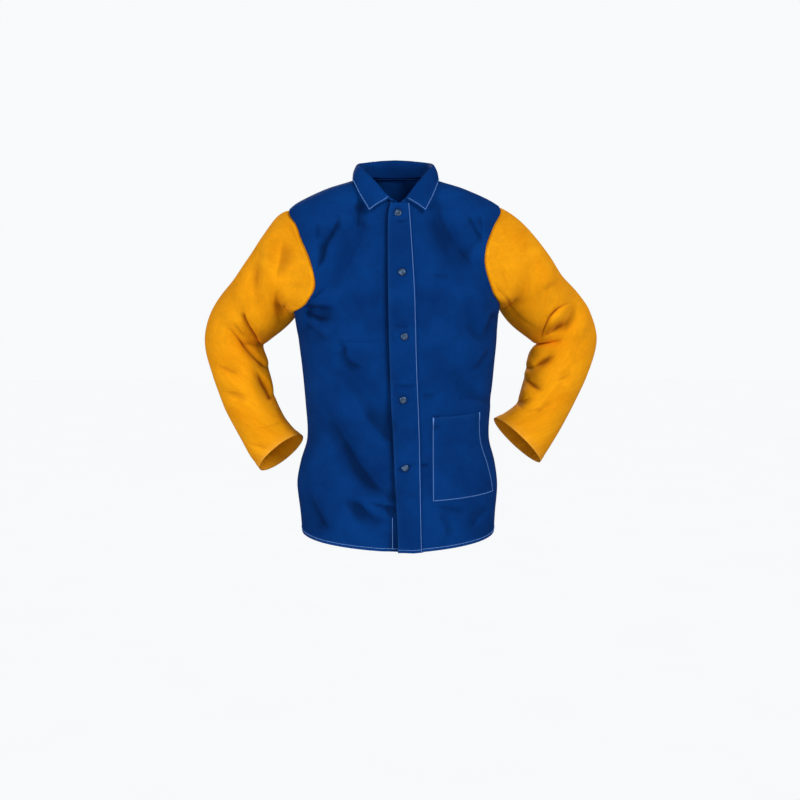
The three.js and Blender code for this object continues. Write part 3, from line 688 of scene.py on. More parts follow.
def thicken(obj, thickness):
    """Gives a sheet its thickness behind its face and smooths its shading."""
    select_only(obj)
    wall = obj.modifiers.new("cloth", "SOLIDIFY")
    wall.thickness = thickness * MM
    wall.offset = -1
    bpy.ops.object.modifier_apply(modifier=wall.name)
    bpy.ops.object.shade_smooth_by_angle(angle=SOFT_EDGE)
    return obj


def sew_in(obj, slot, *nodes):
    """The piece rides on the jacket and stands for its solids, which it hides. Its slot is not used."""
    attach(obj, "root")
    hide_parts(*nodes)
    print(obj.name, "has", len(obj.data.polygons), "faces")


print("sheets are ready to cut")

# %% [markdown]
# ## Creases
# The broad folds are part of the solids. Pressed and pulled cloth also has creases: on one side it slopes
# gently into a valley, on the other it climbs steeply to a plump lip. A cloth simulation would put them where
# it likes. Here each row of the tables is one crease as it lies in the front view: half width of the steep
# side, depth, the side of the lip (1 is left of its run), where along the run it is deepest, and the run.
# Shade is painted into the colour on the gentle side.

# %% The creases
CREASES = {
    "front_right": [
        (3.5, 1.6, 1, 0.4, [(-164, -92), (-164, -126), (-161, -163)]),
        (8, 9, -1, 0.6, [(-112, -78), (-121, -94), (-140, -118), (-154, -136), (-162, -162), (-168, -204)]),
        (10, 6, -1, 0.6, [(-82, -36), (-82, -74), (-88, -122)]),
        (9, 2.5, 1, 0.5, [(-125, -75), (-126, -115)]),
        (8, 6, 1, 0.3, [(-196, -266), (-169, -269), (-120, -272)]),
        (5, 3.5, 1, 0.2, [(-194, -278), (-175, -284), (-161, -289), (-134, -291)]),
        (12, 6, 1, 0.3, [(-200, -296), (-174, -314), (-138, -345)]),
        (3, 1.2, 1, 0.5, [(-137, -338), (-96, -335), (-56, -335), (-20, -335)]),
        (7, 4, 1, 0.5, [(-133, -340), (-112, -347), (-110, -367), (-93, -383), (-64, -394)]),
        (17, 5.5, 1, 0.7, [(-180, -424), (-148, -480), (-112, -540), (-80, -592), (-40, -634), (0, -660)]),
        (14, 4, -1, 0.6, [(-76, -462), (-48, -502), (-18, -540)]),
        (10, 5, 1, 0.6, [(-124, -657), (-87, -662), (-66, -680), (-46, -695), (-13, -699)]),
        (5, 3.5, 1, 0.8, [(-70, -656), (-42, -661), (-10, -672)]),
        (15, 6, 1, 0.6, [(-200, -618), (-176, -671), (-140, -732)]),
    ],
    "front_left": [
        (4.5, 3.5, 1, 0.4, [(135, -79), (149, -106), (166, -133)]),
        (20, 7, 1, 0.5, [(66, -30), (82, -94), (117, -148), (166, -204)]),
        (4.5, 2.5, 1, 0.4, [(162, -74), (164, -124), (167, -150)]),
        (6, 2, 1, 0.5, [(62, -202), (102, -208)]),
        (9, 6, 1, 0.7, [(166, -334), (182, -306), (196, -272)]),
        (6, 3.5, 1, 0.6, [(142, -404), (166, -375), (186, -348)]),
        (5, 2, 1, 0.4, [(40, -440), (58, -442), (80, -440)]),
        (2.5, 1.6, 1, 0.3, [(65, -486), (85, -484)]),
        (2.5, 1.6, 1, 0.3, [(65, -506), (82, -505)]),
        (2.5, 2.5, 1, 0.5, [(39, -581), (61, -582)]),
        (9, 3, 1, 0.2, [(194, -471), (150, -451), (98, -452)]),
        (5, 2, 1, 0.5, [(57, -662), (104, -670), (147, -687)]),
        (9, 3, 1, 0.5, [(194, -672), (159, -694), (140, -726)]),
        (10, 3, -1, 0.5, [(70, -672), (92, -701), (98, -738)]),
    ],
    "placket": [
        (2.5, 1.8, 1, 0.4, [(-13, -97), (3, -96), (22, -93)]),
        (2.5, 1.4, 1, 0.5, [(-16, -302), (3, -304), (20, -304)]),
        (2.5, 1.6, 1, 0.6, [(-15, -419), (7, -423), (34, -424)]),
        (2.5, 1.6, 1, 0.4, [(-11, -591), (11, -585), (39, -574)]),
    ],
    "back_panel": [
        (9, 3, 1, 0.3, [(-176, -140), (-130, -200), (-102, -280)]),
        (8, 3, -1, 0.3, [(178, -140), (134, -205), (110, -272)]),
        (10, 3, 1, 0.4, [(-160, -416), (-80, -448), (20, -444)]),
        (9, 2.5, -1, 0.4, [(160, -436), (92, -472), (20, -480)]),
        (8, 2, 1, 0.5, [(-70, -498), (0, -512), (80, -504)]),
        (11, 3, -1, 0.6, [(-124, -590), (-96, -668), (-102, -738)]),
        (11, 3, 1, 0.6, [(114, -600), (92, -672), (100, -742)]),
    ],
    "sleeve_right": [
        (2.8, 6.5, 1, 0.3, [(-329, -272), (-319, -299), (-307, -324), (-301, -348), (-291, -365)]),
        (3, 5.5, 1, 0.65, [(-372, -300), (-347, -328), (-324, -358), (-300, -385), (-274, -414)]),
        (5, 2, 1, 0.5, [(-354, -299), (-338, -316), (-324, -336)]),
        (6, 2, -1, 0.5, [(-253, -230), (-257, -261), (-254, -286), (-247, -308)]),
        (3.5, 8, 1, 0.85, [(-312, -391), (-295, -421), (-280, -447), (-270, -465)]),
        (4, 1, 1, 0.5, [(-404, -385), (-359, -402), (-334, -416)]),
        (4, 1, 1, 0.5, [(-388, -446), (-344, -447), (-308, -458)]),
        (4, 1.2, 1, 0.8, [(-326, -518), (-279, -516), (-246, -506)]),
        (4, 1, 1, 0.5, [(-328, -552), (-289, -556), (-264, -566)]),
        (12, 2.5, 1, 0.5, [(-286, -118), (-294, -187), (-299, -254)]),
        (11, 2.5, -1, 0.5, [(-235, -120), (-243, -175), (-256, -230)]),
    ],
    "sleeve_left": [
        (3, 5.5, 1, 0.6, [(372, -254), (340, -268), (318, -288), (308, -316), (303, -343)]),
        (4, 2, 1, 0.6, [(358, -300), (327, -319), (300, -336)]),
        (5, 4, -1, 0.8, [(338, -367), (308, -384), (286, -396), (271, -405)]),
        (5, 3, 1, 0.2, [(264, -413), (282, -430), (312, -453)]),
        (5, 3, 1, 0.2, [(248, -480), (271, -463), (292, -457)]),
        (4, 1, 1, 0.5, [(306, -428), (341, -421), (376, -408)]),
        (6, 1.5, 1, 0.5, [(258, -487), (306, -480)]),
        (2.4, 1.6, 1, 0.4, [(176, -200), (191, -218), (216, -246), (253, -288), (289, -312), (311, -330)]),
        (9, 1, 1, 0.5, [(205, -172), (217, -220), (226, -258)]),
        (9, 2, 1, 0.5, [(288, -237), (342, -211)]),
    ],
}
CREASE_STEPS = 24
GENTLE, STEEP, STEEP_LEAST, CRISP = 2.2, 0.75, 3, 0.3
PLUMP, LIP_END, LIP_FALL = 1.5, 2, 3.5
CREASE_REACH, PLATEAU, GLOOM, CREASE_FACING = 9, 0.7, 0.15, (-0.3, 0.15)


def crease_height(away, width):
    """Height over a crease of depth 1: gentle below zero, steep and then plump above."""
    s = away / width
    steep = PLUMP * (1 - bump(away, max(STEEP * width, STEEP_LEAST))) - 1
    return np.where(s < 0, -bump(s, GENTLE), steep * bump(np.maximum(s - LIP_END, 0), LIP_FALL))


def crease_moves(points, normals, creases, face=-1):
    """How far the creases move each point, and how much shade is painted into their colour."""
    height, gloom = np.zeros((2,) + points.shape[:-1])
    shown = step(normals[..., 1] * face, *CREASE_FACING)
    here = points[..., [0, 2]]
    for width, depth, lip, deepest, line in creases:
        path = even(np.array(line, float), np.linspace(0, 1, CREASE_STEPS + 1))
        reach = CREASE_REACH * width
        close = np.all((here > path.min(0) - reach) & (here < path.max(0) + reach), -1)
        run = np.diff(path, axis=0)
        off = here[close][:, None] - path[:-1]
        share = np.clip(np.sum(off * run, -1) / np.sum(run * run, -1), 0, 1)
        off = off - share[..., None] * run
        nearest = np.arange(len(off)), np.linalg.norm(off, axis=-1).argmin(1)
        along, away = unit(run)[nearest[1]], off[nearest]
        beside = lip * (along[:, 0] * away[:, 1] - along[:, 1] * away[:, 0])
        where = (nearest[1] + share[nearest]) / CREASE_STEPS
        ends = step(np.minimum(where / deepest, (1 - where) / (1 - deepest)), 0, PLATEAU)
        height[close] += depth * ends * crease_height(beside, width)
        # painted shade: the colour darkens on the gentle side of each crease and in a narrow band over its
        # lip
        dim = np.where(beside < 0, GENTLE, CRISP) * width
        gloom[close] += GLOOM * depth * ends * bump(beside, dim)
    return normals * (height * shown)[..., None], gloom * shown


print("creases:", {name: len(rows) for name, rows in CREASES.items()})

# %% [markdown]
# ## The five big sheets
# Where two panels meet, the seam pulls the cloth in: a narrow groove with a soft ridge beside it, where the
# seam allowance lies underneath. The hem is turned up and stitched, so it stands proud by one more layer and
# its edge ropes in slanting ripples.

# %% Relief along seams and hems
CLOTH, LEATHER = 1.2, 1.8
GROOVE_WIDE, RIDGE_AT, RIDGE_WIDE = 2.8, 7, 4
HEM_DEEP, HEM_PROUD, HEM_EDGE = 6, 0.7, (0.5, 3.5)
STITCH_SUNK, STITCH_WIDE = 0.5, 1.6
ROPE_HIGH, ROPE_PITCH, ROPE_SLANT, ROPE_SWAY, SWAY_PITCH = 0.35, 11, 9, 1.3, 37
HEM_WEAR, CUFF_WEAR, EDGE_WEAR = 4, 6, 3
RIPPLE_FADE = 5


def seam_relief(distance, deep=3.6, proud=0.8):
    return proud * bump(distance, RIDGE_WIDE, RIDGE_AT) - deep * bump(distance, GROOVE_WIDE)


def hem_relief(distance, along):
    """A turned edge with a sunk stitch row and roping between."""
    turned = HEM_PROUD * (1 - step(distance, HEM_DEEP + HEM_EDGE[0], HEM_DEEP + HEM_EDGE[1]))
    sunk = STITCH_SUNK * bump(distance, STITCH_WIDE, HEM_DEEP)
    turns = 2 * math.pi * (along / ROPE_PITCH + distance / ROPE_SLANT)
    rope = ROPE_HIGH * np.sin(turns + ROPE_SWAY * np.sin(along / SWAY_PITCH))
    return turned - sunk + rope * bump(distance, HEM_DEEP, HEM_DEEP / 2)


def pucker(along, pitch, sway):
    """The small uneven ripple that a stitch row draws into an edge."""
    return np.sin(along / pitch + 2 * np.sin(along / sway))


print("hem is", HEM_DEEP, "mm deep")

# %% The fronts and the back
SEAM_CALM, HEM_CALM = 9, 12
SEAM_SHADE, SEAM_SHADE_WIDE = 2.2, 3.5
BESIDE_PLACKET = {"wide": 16, "sunk": 4.5, "shade": 1.3}
FRONT_FINE, BACK_FINE, SLEEVE_FINE = (3, 3.5), (2, 2), 2.2
sheets, laid = {}, {}
for name in ("front_left", "front_right", "back_panel"):
    net = nets[name]
    count_rows, count_columns = net.shape[0] - 1, net.shape[1] - 1
    behind = name == "back_panel"
    fine_rows, fine_columns = BACK_FINE if behind else FRONT_FINE
    rows = lines(count_rows, fine_rows)
    columns = lines(count_columns, fine_columns, close_low=behind)
    points = read_net(net, rows, columns)
    normals = net_normals(points, read_net(faces_out[name], rows, columns))
    from_low, from_high = run_lengths(points, 1)
    from_hem, from_top = run_lengths(points, 0)
    free = step(from_high, 0, SEAM_CALM) * step(from_top, 0, SEAM_CALM)
    relief = seam_relief(from_high) + seam_relief(from_top) * step(from_low, 0, 1)
    if behind:
        free = free * step(from_low, 0, SEAM_CALM)
        relief = relief + seam_relief(from_low)
    moves, gloom = crease_moves(points, normals, CREASES[name], 1 if behind else -1)
    points = points + moves * free[..., None]
    normals = net_normals(points, normals)
    # painted shade: the cloth along the side seam and the armhole is darkened in colour, added to the
    # creases' painted shade
    painted_darkening = gloom + SEAM_SHADE * bump(from_high, SEAM_SHADE_WIDE)
    if name == "front_right":
        edge_gap = read(PLACKET, "edge", points[..., 2]) - points[..., 0]
        beside = bump(np.maximum(edge_gap, 0), BESIDE_PLACKET["wide"])
        relief = relief - BESIDE_PLACKET["sunk"] * beside
        # painted shadow: the right front is darkened in colour beside the placket's free edge, where that
        # edge shades it
        painted_darkening = painted_darkening + BESIDE_PLACKET["shade"] * beside**2
    relief = relief + hem_relief(from_hem, from_low) * step(from_high, 0, HEM_CALM)
    points = points + normals * relief[..., None]
    laid[name] = points, normals
    wear = fade(from_hem, HEM_WEAR)
    sheets[name] = thicken(sheet_object(name + "_sheet", points, normals, wear, painted_darkening), CLOTH)
    sew_in(sheets[name], "blue_cotton", name)

# %% The sleeves
ALLOWANCE = ((7, 5.5), (2.5, 3.5))
LEATHER_CALM, LEATHER_SEAM = 12, {"deep": 2.2, "proud": 0.3}
LEATHER_SHADE, LEATHER_SHADE_WIDE = 1.8, 2.2
CUFF_PROUD, CUFF_EDGE = 0.6, (13, 17)


def tucked_under(values):
    """Values of the rows on a sleeve's seam allowance, then those of the sleeve."""
    return np.concatenate([values[:1]] * len(ALLOWANCE) + [values])


for side in ("left", "right"):
    name = f"sleeve_{side}"
    net = nets[name]
    rows = lines(net.shape[0] - 1, SLEEVE_FINE)
    columns = np.linspace(0, net.shape[1], int(net.shape[1] * SLEEVE_FINE) + 1)
    points = read_net(net, rows, columns, closed=True)
    normals = net_normals(points, read_net(faces_out[name], rows, columns, closed=True), closed=True)
    from_seam, from_cuff = run_lengths(points, 0)
    moves, gloom = crease_moves(points, normals, CREASES[name])
    points = points + moves * step(from_seam, 0, LEATHER_CALM)[..., None]
    normals = net_normals(points, normals, closed=True)
    relief = seam_relief(from_seam, **LEATHER_SEAM) + CUFF_PROUD * (1 - step(from_cuff, *CUFF_EDGE))
    points = points + normals * relief[..., None]
    points[:, -1] = points[:, 0]
    # painted shade: the leather beside the armhole seam and on the creases' gentle sides is darkened in
    # colour
    painted_darkening = gloom + LEATHER_SHADE * bump(from_seam, LEATHER_SHADE_WIDE)
    inward = unit(points[0] - points[4])
    tucked = [points[0] + inward * reach - normals[0] * drop for reach, drop in ALLOWANCE]
    points = np.concatenate([tucked, points])
    normals, wear, painted_darkening = map(tucked_under, (normals, fade(from_cuff, CUFF_WEAR), painted_darkening))
    sheets[name] = thicken(sheet_object(name + "_sheet", points, normals, wear, painted_darkening, True), LEATHER)
    sew_in(sheets[name], "golden_leather", f"{name}_upper", f"{name}_lower")

# %% [markdown]
# ## The collar
# A turned-down collar is one strip of doubled cloth: a stand rises from the neck seam, rolls over, and falls
# back to a free edge with two points in front. The strip is read from the collar's table: for every angle
# round the neck, a profile runs from the seam over the roll to the edge.

# %% The collar's net
COLLAR_CLOTH = 2.0
LAYER_GAP, COLLAR_BELLY = 0.4, 2
COLLAR_COLUMNS, COLLAR_PROFILE = 160, 64


def neck_seat(at, sign):
    """Point and normal of the neck seam at an angle from the front."""
    if at < 90:
        start = math.degrees(NECK_START)
        share = (at - start) / (90 - start)
        name = "front_left" if sign > 0 else "front_right"
        rows, column = [mix(ROW["neck"], ROW["shoulder"], share) * ROW_PARTS], [0]
    else:
        name = "back_panel"
        turn = (at - 90) / 180
        column = COLUMN["rim"] + BACK_NECK_COLUMNS * (turn if sign > 0 else 1 - turn)
        rows, column = [ROW["shoulder"] * ROW_PARTS], [column * COLUMN_PARTS]
    return read_net(nets[name], rows, column)[0, 0], read_net(faces_out[name], rows, column)[0, 0]


def collar_profile(at, sign):
    """Points from the neck seam over the roll to the free edge."""
    middle = NECK["middle"] + NECK["shift"] * max(math.cos(math.radians(at)), 0)
    place = {key: float(read(COLLAR, key, at, "at")) for key in COLLAR}
    seat, facing = neck_seat(at, sign)
    roll = np.array([middle + sign * place["rollX"], place["rollY"], place["rollZ"]])
    edge = np.array([middle + sign * place["edgeX"], place["edgeY"], place["edgeZ"]])
    seam = seat + facing * LAYER_GAP
    out = unit((edge - roll) * np.array([1, 1, 0]))
    down = np.array([0, 0, -COLLAR_FOLD])
    neck_side = roll - out * COLLAR_FOLD + down
    fall_side = roll + out * COLLAR_FOLD + down
    belly = (fall_side + edge) / 2 + out * COLLAR_BELLY
    stations = np.array([seam, (seam + neck_side) / 2, neck_side, roll, fall_side, belly, edge])
    return even(stations, np.linspace(0, 1, COLLAR_PROFILE + 1))


def collar_net():
    profiles = []
    for k in range(COLLAR_COLUMNS + 1):
        share = 1 - abs(2 * k / COLLAR_COLUMNS - 1)
        at = mix(COLLAR["at"][0], 180, share)
        profiles.append(collar_profile(at, -1 if k < COLLAR_COLUMNS / 2 else 1))
    return np.swapaxes(np.array(profiles), 0, 1)


inner = collar_net()
inward = unit(np.cross(np.gradient(inner, axis=0), np.gradient(inner, axis=1)))
collar_points = inner - inward * COLLAR_CLOTH
collar_normals = -inward
print("collar net of", *collar_points.shape[:2])

# %% The collar's sheet
EDGE_STITCH = 2.7
FALL_DEEP = 60
EDGE_SUNK, EDGE_WIDE = 0.45, 1.3
_, from_edge = run_lengths(collar_points, 0)
from_right, from_left = run_lengths(collar_points, 1)
from_end = np.minimum(from_right, from_left)
near = np.where(from_edge > FALL_DEEP, from_edge, np.minimum(from_edge, from_end))
sunk = EDGE_SUNK * bump(near, EDGE_WIDE, EDGE_STITCH)
ripple = 0.2 * pucker(from_right, pitch=1.7, sway=23) * fade(near, RIPPLE_FADE)
collar_points = collar_points + collar_normals * (ripple - sunk)[..., None]
wear = fade(near, EDGE_WEAR)
collar = thicken(sheet_object("collar_sheet", collar_points, collar_normals, wear), COLLAR_CLOTH)
sew_in(collar, "blue_cotton", "collar")

# %% [markdown]
# ## Placket and pocket
# The left front laps over the right one. Its doubled edge is the placket: it lies on the body, a little
# proud, from its free edge to a stitched line, and is a little narrower at the bottom and wider at the top
# than its solid. The pocket is a patch sewn onto the left front. Both are read from the nets of the fronts,
# so they follow every fold underneath, and are lifted by their own thickness.

# %% The placket
PLACKET_CLOTH, PLACKET_DROP, STITCH_INSET = 1.4, 1, 3.0
AIR = 0.2
FREE_EDGE_LIFT, LIFT_WIDE, DROP_FADE = 3.6, 9, 12
BOTTOM_REACH, TOP_REACH = 0.82, 1.13
SNAP_SHADE, SHADE_WIDE = 1.8, 10
SNAP_SUNK, SUNK_WIDE = 0.9, 9
SNAP_RING, RING_AT, RING_WIDE = 0.5, 13, 5
snap_places = {n: np.mean(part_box(n), 0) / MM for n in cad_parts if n.startswith("snap")}
strip_rows = lines(ROW["neck"] * ROW_PARTS, 3)
half_strip = np.linspace(0, COLUMN_PARTS, 13)


def both_fronts(store):
    right = read_net(store["front_right"], strip_rows, half_strip)[:, ::-1]
    left = read_net(store["front_left"], strip_rows, half_strip)
    narrow = read_net(store["front_right"], strip_rows, half_strip * BOTTOM_REACH)[:, ::-1]
    low = 1 - step(strip_rows, 0, ROW["pocket_top"] * ROW_PARTS)
    right = mix(right, narrow, low[:, None, None])
    wide = read_net(store["front_left"], strip_rows, half_strip * TOP_REACH)
    left = mix(wide, left, low[:, None, None])
    return np.concatenate([right, left[:, 1:]], 1)


strip = both_fronts(nets)
strip_normals = net_normals(strip, both_fronts(faces_out))
from_free, from_stitch = run_lengths(strip, 1)
from_bottom, _ = run_lengths(strip, 0)
pressed = CREASES["front_right"] + CREASES["front_left"] + CREASES["placket"]
moves, painted_darkening = crease_moves(strip, strip_normals, pressed)
strip = strip + moves
lift = PLACKET_CLOTH + AIR + FREE_EDGE_LIFT * fade(from_free, LIFT_WIDE)
lift = lift - 0.4 * bump(from_stitch, width=1.2, at=STITCH_INSET)
lift = lift + 0.25 * pucker(from_bottom, pitch=2.1, sway=31) * fade(from_stitch, RIPPLE_FADE)
for place in snap_places.values():
    away = np.hypot(strip[..., 0] - place[0], strip[..., 2] - place[2])
    # painted shade: the cloth round each snap is darkened in colour
    painted_darkening = painted_darkening + SNAP_SHADE * bump(away, SHADE_WIDE)
    lift = lift + SNAP_RING * bump(away, RING_WIDE, RING_AT) - SNAP_SUNK * bump(away, SUNK_WIDE)
strip = strip + strip_normals * lift[..., None]
strip[..., 2] -= PLACKET_DROP * fade(from_bottom, DROP_FADE)
strip_normals = net_normals(strip, strip_normals)
wear = fade(from_free, EDGE_WEAR) + fade(from_bottom, HEM_WEAR)
placket = thicken(sheet_object("placket_sheet", strip, strip_normals, wear, painted_darkening), PLACKET_CLOTH)
sew_in(placket, "blue_cotton", "placket")

# %% The pocket
POCKET_CLOTH = 1.3
MOUTH_GAPE, GAPE_DEEP = 3.5, 45
MOUTH_HEM, MOUTH_PROUD, MOUTH_EDGE = 18, 0.5, 3
low_row, high_row = ROW["pocket_bottom"] * ROW_PARTS, ROW["pocket_top"] * ROW_PARTS
patch_rows = low_row + lines(high_row - low_row, 2)
inner_column, outer_column = COLUMN["inner"] * COLUMN_PARTS, COLUMN["outer"] * COLUMN_PARTS
patch_columns = inner_column + lines(outer_column - inner_column, 3)
patch = read_net(nets["front_left"], patch_rows, patch_columns)
patch_normals = net_normals(patch, read_net(faces_out["front_left"], patch_rows, patch_columns))
moves, painted_darkening = crease_moves(patch, patch_normals, CREASES["front_left"])
patch = patch + moves
from_inner, from_outer = run_lengths(patch, 1)
from_base, from_mouth = run_lengths(patch, 0)
near = np.minimum(np.minimum(from_inner, from_outer), from_base)
middle = np.sin(np.pi * from_inner / (from_inner + from_outer))
lift = POCKET_CLOTH + AIR + MOUTH_GAPE * middle**2 * bump(from_mouth, GAPE_DEEP)
lift = lift - EDGE_SUNK * bump(near, EDGE_WIDE, STITCH_INSET)
lift = lift + MOUTH_PROUD * step(MOUTH_HEM - from_mouth, 0, MOUTH_EDGE)
patch = patch + patch_normals * lift[..., None]
patch_normals = net_normals(patch, patch_normals)
wear = fade(near, EDGE_WEAR) + fade(from_mouth, EDGE_WEAR)
pocket = thicken(sheet_object("pocket_sheet", patch, patch_normals, wear, painted_darkening), POCKET_CLOTH)
sew_in(pocket, "blue_cotton", "pocket")

# %% [markdown]
# ## Stitches
# Pale thread shows on every edge of the cotton. A seamstress sees one seam as a row of short arched stitches
# whose ends dive into the cloth. A texture of dashes would be flat, so each stitch is a small bent rod, and
# a whole seam is one joined mesh made from arrays.

# %% Lines on a sheet
STITCH_LONG, STITCH_PITCH = 3.3, 4.2
HALF_STEP = 0.5


def read_at(net, rows, columns):
    """A net read at pairs of places, straight between its points."""
    r = np.clip(rows, 0, net.shape[0] - 1.001)
    c = np.clip(columns, 0, net.shape[1] - 1.001)
    j, k = r.astype(int), c.astype(int)
    u, v = (r - j)[:, None], (c - k)[:, None]
    low = mix(net[j, k], net[j, k + 1], v)
    high = mix(net[j + 1, k], net[j + 1, k + 1], v)
    return mix(low, high, u)


def where_distance(run, distance):
    """Place along a run of rising distances."""
    return np.interp(distance, run, np.arange(len(run)))


def along_line(values, run, at):
    """The values of a line's points, read at distances along it."""
    return np.stack([np.interp(at, run, values[:, i]) for i in range(3)], -1)


def even_line(points, normals, pitch):
    """Points, tangents and normals at even steps along a line on a sheet."""
    run = lengths(points)
    count = max(int(run[-1] / pitch), 1)
    at = (np.arange(count) + 0.5) * run[-1] / count
    ahead = along_line(points, run, at + HALF_STEP)
    behind = along_line(points, run, at - HALF_STEP)
    return along_line(points, run, at), unit(ahead - behind), unit(along_line(normals, run, at))


straight = np.array([[0, 0, 0], [100.0, 0, 0]])
print("a line of 100 mm takes", len(even_line(straight, np.eye(3)[:2], STITCH_PITCH)[0]), "stitches")

# %% Thread
THREAD = 0.6
ROD_SIDES = 6
ROD_STATIONS = np.array([-1.0, -0.62, 0.0, 0.62, 1.0])
ROD_GIRTHS = np.array([0.55, 0.95, 1.0, 0.95, 0.55])
ROD_RISES = 0.75 - 1.25 * ROD_STATIONS**2


def stitch_rods(spots, along, facing, long, thick):
    """Vertices and faces of arched rods, one for each spot."""
    side = np.cross(facing, along)
    angle = 2 * math.pi * np.arange(ROD_SIDES) / ROD_SIDES
    axis = spots[:, None] + along[:, None] * (ROD_STATIONS * long / 2)[None, :, None]
    axis = axis + facing[:, None] * (ROD_RISES * thick)[None, :, None]
    ring = side[:, None, None] * np.cos(angle)[None, None, :, None]
    ring = ring + facing[:, None, None] * np.sin(angle)[None, None, :, None]
    points = axis[:, :, None] + ring * (ROD_GIRTHS * thick)[None, :, None, None]
    stations = len(ROD_STATIONS)
    index = np.arange(stations * ROD_SIDES).reshape(stations, ROD_SIDES)
    turned = np.roll(index, -1, 1)
    quads = np.stack([index[:-1], turned[:-1], turned[1:], index[1:]], -1).reshape(-1, 4)
    starts = np.arange(len(spots)) * stations * ROD_SIDES
    sides = (quads[None] + starts[:, None, None]).reshape(-1, 4)
    caps = np.concatenate([index[0][::-1][None] + starts[:, None], index[-1][None] + starts[:, None]])
    return points.reshape(-1, 3), sides.tolist() + caps.tolist()


def sew(name, seams, long=STITCH_LONG, pitch=STITCH_PITCH, thick=THREAD):
    """One mesh of stitches along several seam lines, each given as points and normals."""
    points, faces = [], []
    for line, normals in seams:
        spots, along, facing = even_line(line, normals, pitch)
        rods, rod_faces = stitch_rods(spots, along, facing, long, thick)
        base = sum(map(len, points))
        points.append(rods)
        faces += [[v + base for v in face] for face in rod_faces]
    mesh = bpy.data.meshes.new(name)
    mesh.from_pydata(np.concatenate(points) * MM, [], faces)
    obj = add_object(name, mesh)
    edit_all(obj, bpy.ops.mesh.normals_make_consistent, inside=False)
    bpy.ops.object.shade_smooth()
    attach(obj, "root")
    print(name, "has", len(faces), "faces")
    return obj


threads = []

# %% Sewing the collar, placket and pocket
def net_line(points, normals, rows, columns):
    rows, columns = np.broadcast_arrays(np.asarray(rows, float), np.asarray(columns, float))
    return read_at(points, rows, columns), read_at(normals, rows, columns)


def three_sides(sides, along):
    """Rows and columns of a line down one side, along an edge and up the other side."""
    rows = np.concatenate([sides, np.full(len(along), sides[-1]), sides[::-1]])
    columns = np.concatenate([np.full(len(sides), along[0]), along, np.full(len(sides), along[-1])])
    return rows, columns


def collar_seam():
    """Down the right end, round the free edge and up the left end, a little inside the edge."""
    last = collar_points.shape[1] - 1
    edge_row = COLLAR_PROFILE - where_distance(from_edge[::-1, last // 2], EDGE_STITCH)
    low_end = where_distance(from_right[-1], EDGE_STITCH)
    high_end = last - where_distance(from_left[-1, ::-1], EDGE_STITCH)
    roll_row = np.argmax(collar_points[:, round(low_end), 2])
    along = np.linspace(low_end, high_end, 400)
    down = np.linspace(roll_row, edge_row, 30)
    return net_line(collar_points, collar_normals, *three_sides(down, along))


threads.append(sew("stitches_collar", [collar_seam()]))
strip_last = strip.shape[0] - 1
strip_along = np.linspace(0, strip_last, 500)
stitch_column = [strip.shape[1] - 1 - where_distance(r[::-1], STITCH_INSET) for r in from_stitch]
stitch_column = np.interp(strip_along, np.arange(len(stitch_column)), stitch_column)
threads.append(sew("stitches_placket", [net_line(strip, strip_normals, strip_along, stitch_column)]))

patch_top, patch_last = patch.shape[0] - 1, patch.shape[1] - 1
inset_low = where_distance(from_inner[0], STITCH_INSET)
inset_high = patch_last - where_distance(from_outer[0, ::-1], STITCH_INSET)
inset_base = where_distance(from_base[:, 0], STITCH_INSET)
down = np.linspace(patch_top, inset_base, 80)
along = np.linspace(inset_low, inset_high, 80)
threads.append(sew("stitches_pocket", [net_line(patch, patch_normals, *three_sides(down, along))]))

TACK_LONG, TACK_WIDE, TACK_PITCH, TACK_INSET = 14, 2.6, 0.9, 0.2
tacks = []
for column in (inset_low, inset_high):
    run = patch_top - where_distance(from_mouth[::-1, 0], TACK_LONG)
    for row in np.linspace(run, patch_top - TACK_INSET, int(TACK_LONG / TACK_PITCH)):
        spot, facing = net_line(patch, patch_normals, [row], [column])
        aside = np.array([[-TACK_WIDE / 2, 0, 0], [TACK_WIDE / 2, 0, 0]])
        tacks.append((spot + aside, np.repeat(facing, 2, 0)))
threads.append(sew("bartacks_pocket", tacks, long=TACK_WIDE, pitch=TACK_WIDE))

# %% Sewing the hems
UNDER_PLACKET = 20
FACING = {"x": -15, "low": HEM_MIDDLE + 4, "high": -688}


def hem_seam(points, normals, start=0.0, count=400):
    """The stitch row of a turned hem, from a distance along its edge to the far side."""
    rise, _ = run_lengths(points, 0)
    across, _ = run_lengths(points[:2], 1)
    columns = np.linspace(where_distance(across[0], start), points.shape[1] - 1, count)
    row_of = [where_distance(rise[:, k], HEM_DEEP) for k in range(points.shape[1])]
    return net_line(points, normals, np.interp(columns, np.arange(len(row_of)), row_of), columns)


hem_seams = [hem_seam(strip, strip_normals, count=60)]
hem_seams += [hem_seam(*laid[name], UNDER_PLACKET) for name in ("front_left", "front_right")]
hem_seams.append(hem_seam(*laid["back_panel"]))
threads.append(sew("stitches_hem", hem_seams))


def upright_seam(name, x, low, high):
    """A seam that climbs a front at one distance from the middle."""
    points, normals = laid[name]
    rows = np.linspace(*np.interp([low, high], points[:, 0, 2], np.arange(len(points))), 60)
    toward = 1 if points[0, -1, 0] > points[0, 0, 0] else -1
    places = np.arange(points.shape[1])
    columns = [np.interp(x * toward, points[int(r), :, 0] * toward, places) for r in rows]
    return net_line(points, normals, rows, columns)


threads.append(sew("stitches_facing", [upright_seam("front_right", **FACING)]))

# %% [markdown]
# ## Snaps
# Each snap is a pressed steel cap with a rolled rim and a shallow dish. One cap is modelled from a disc by
# insets and extrusions, rounded with a bevel, and copied to its five places on the placket.

# %% One snap cap
SNAP_RADIUS, SNAP_BASE, SNAP_SIDES = 7.3, 1.0, 40
SNAP_BEVEL, SNAP_CRISP, UPWARD = 0.25, math.radians(40), 0.9
SNAP_STEPS = ((0.7, 0.8), (0.9, 0.5), (1.2, 0.15), (0.5, -0.5), (1.2, -0.3), (1.0, 0.15))


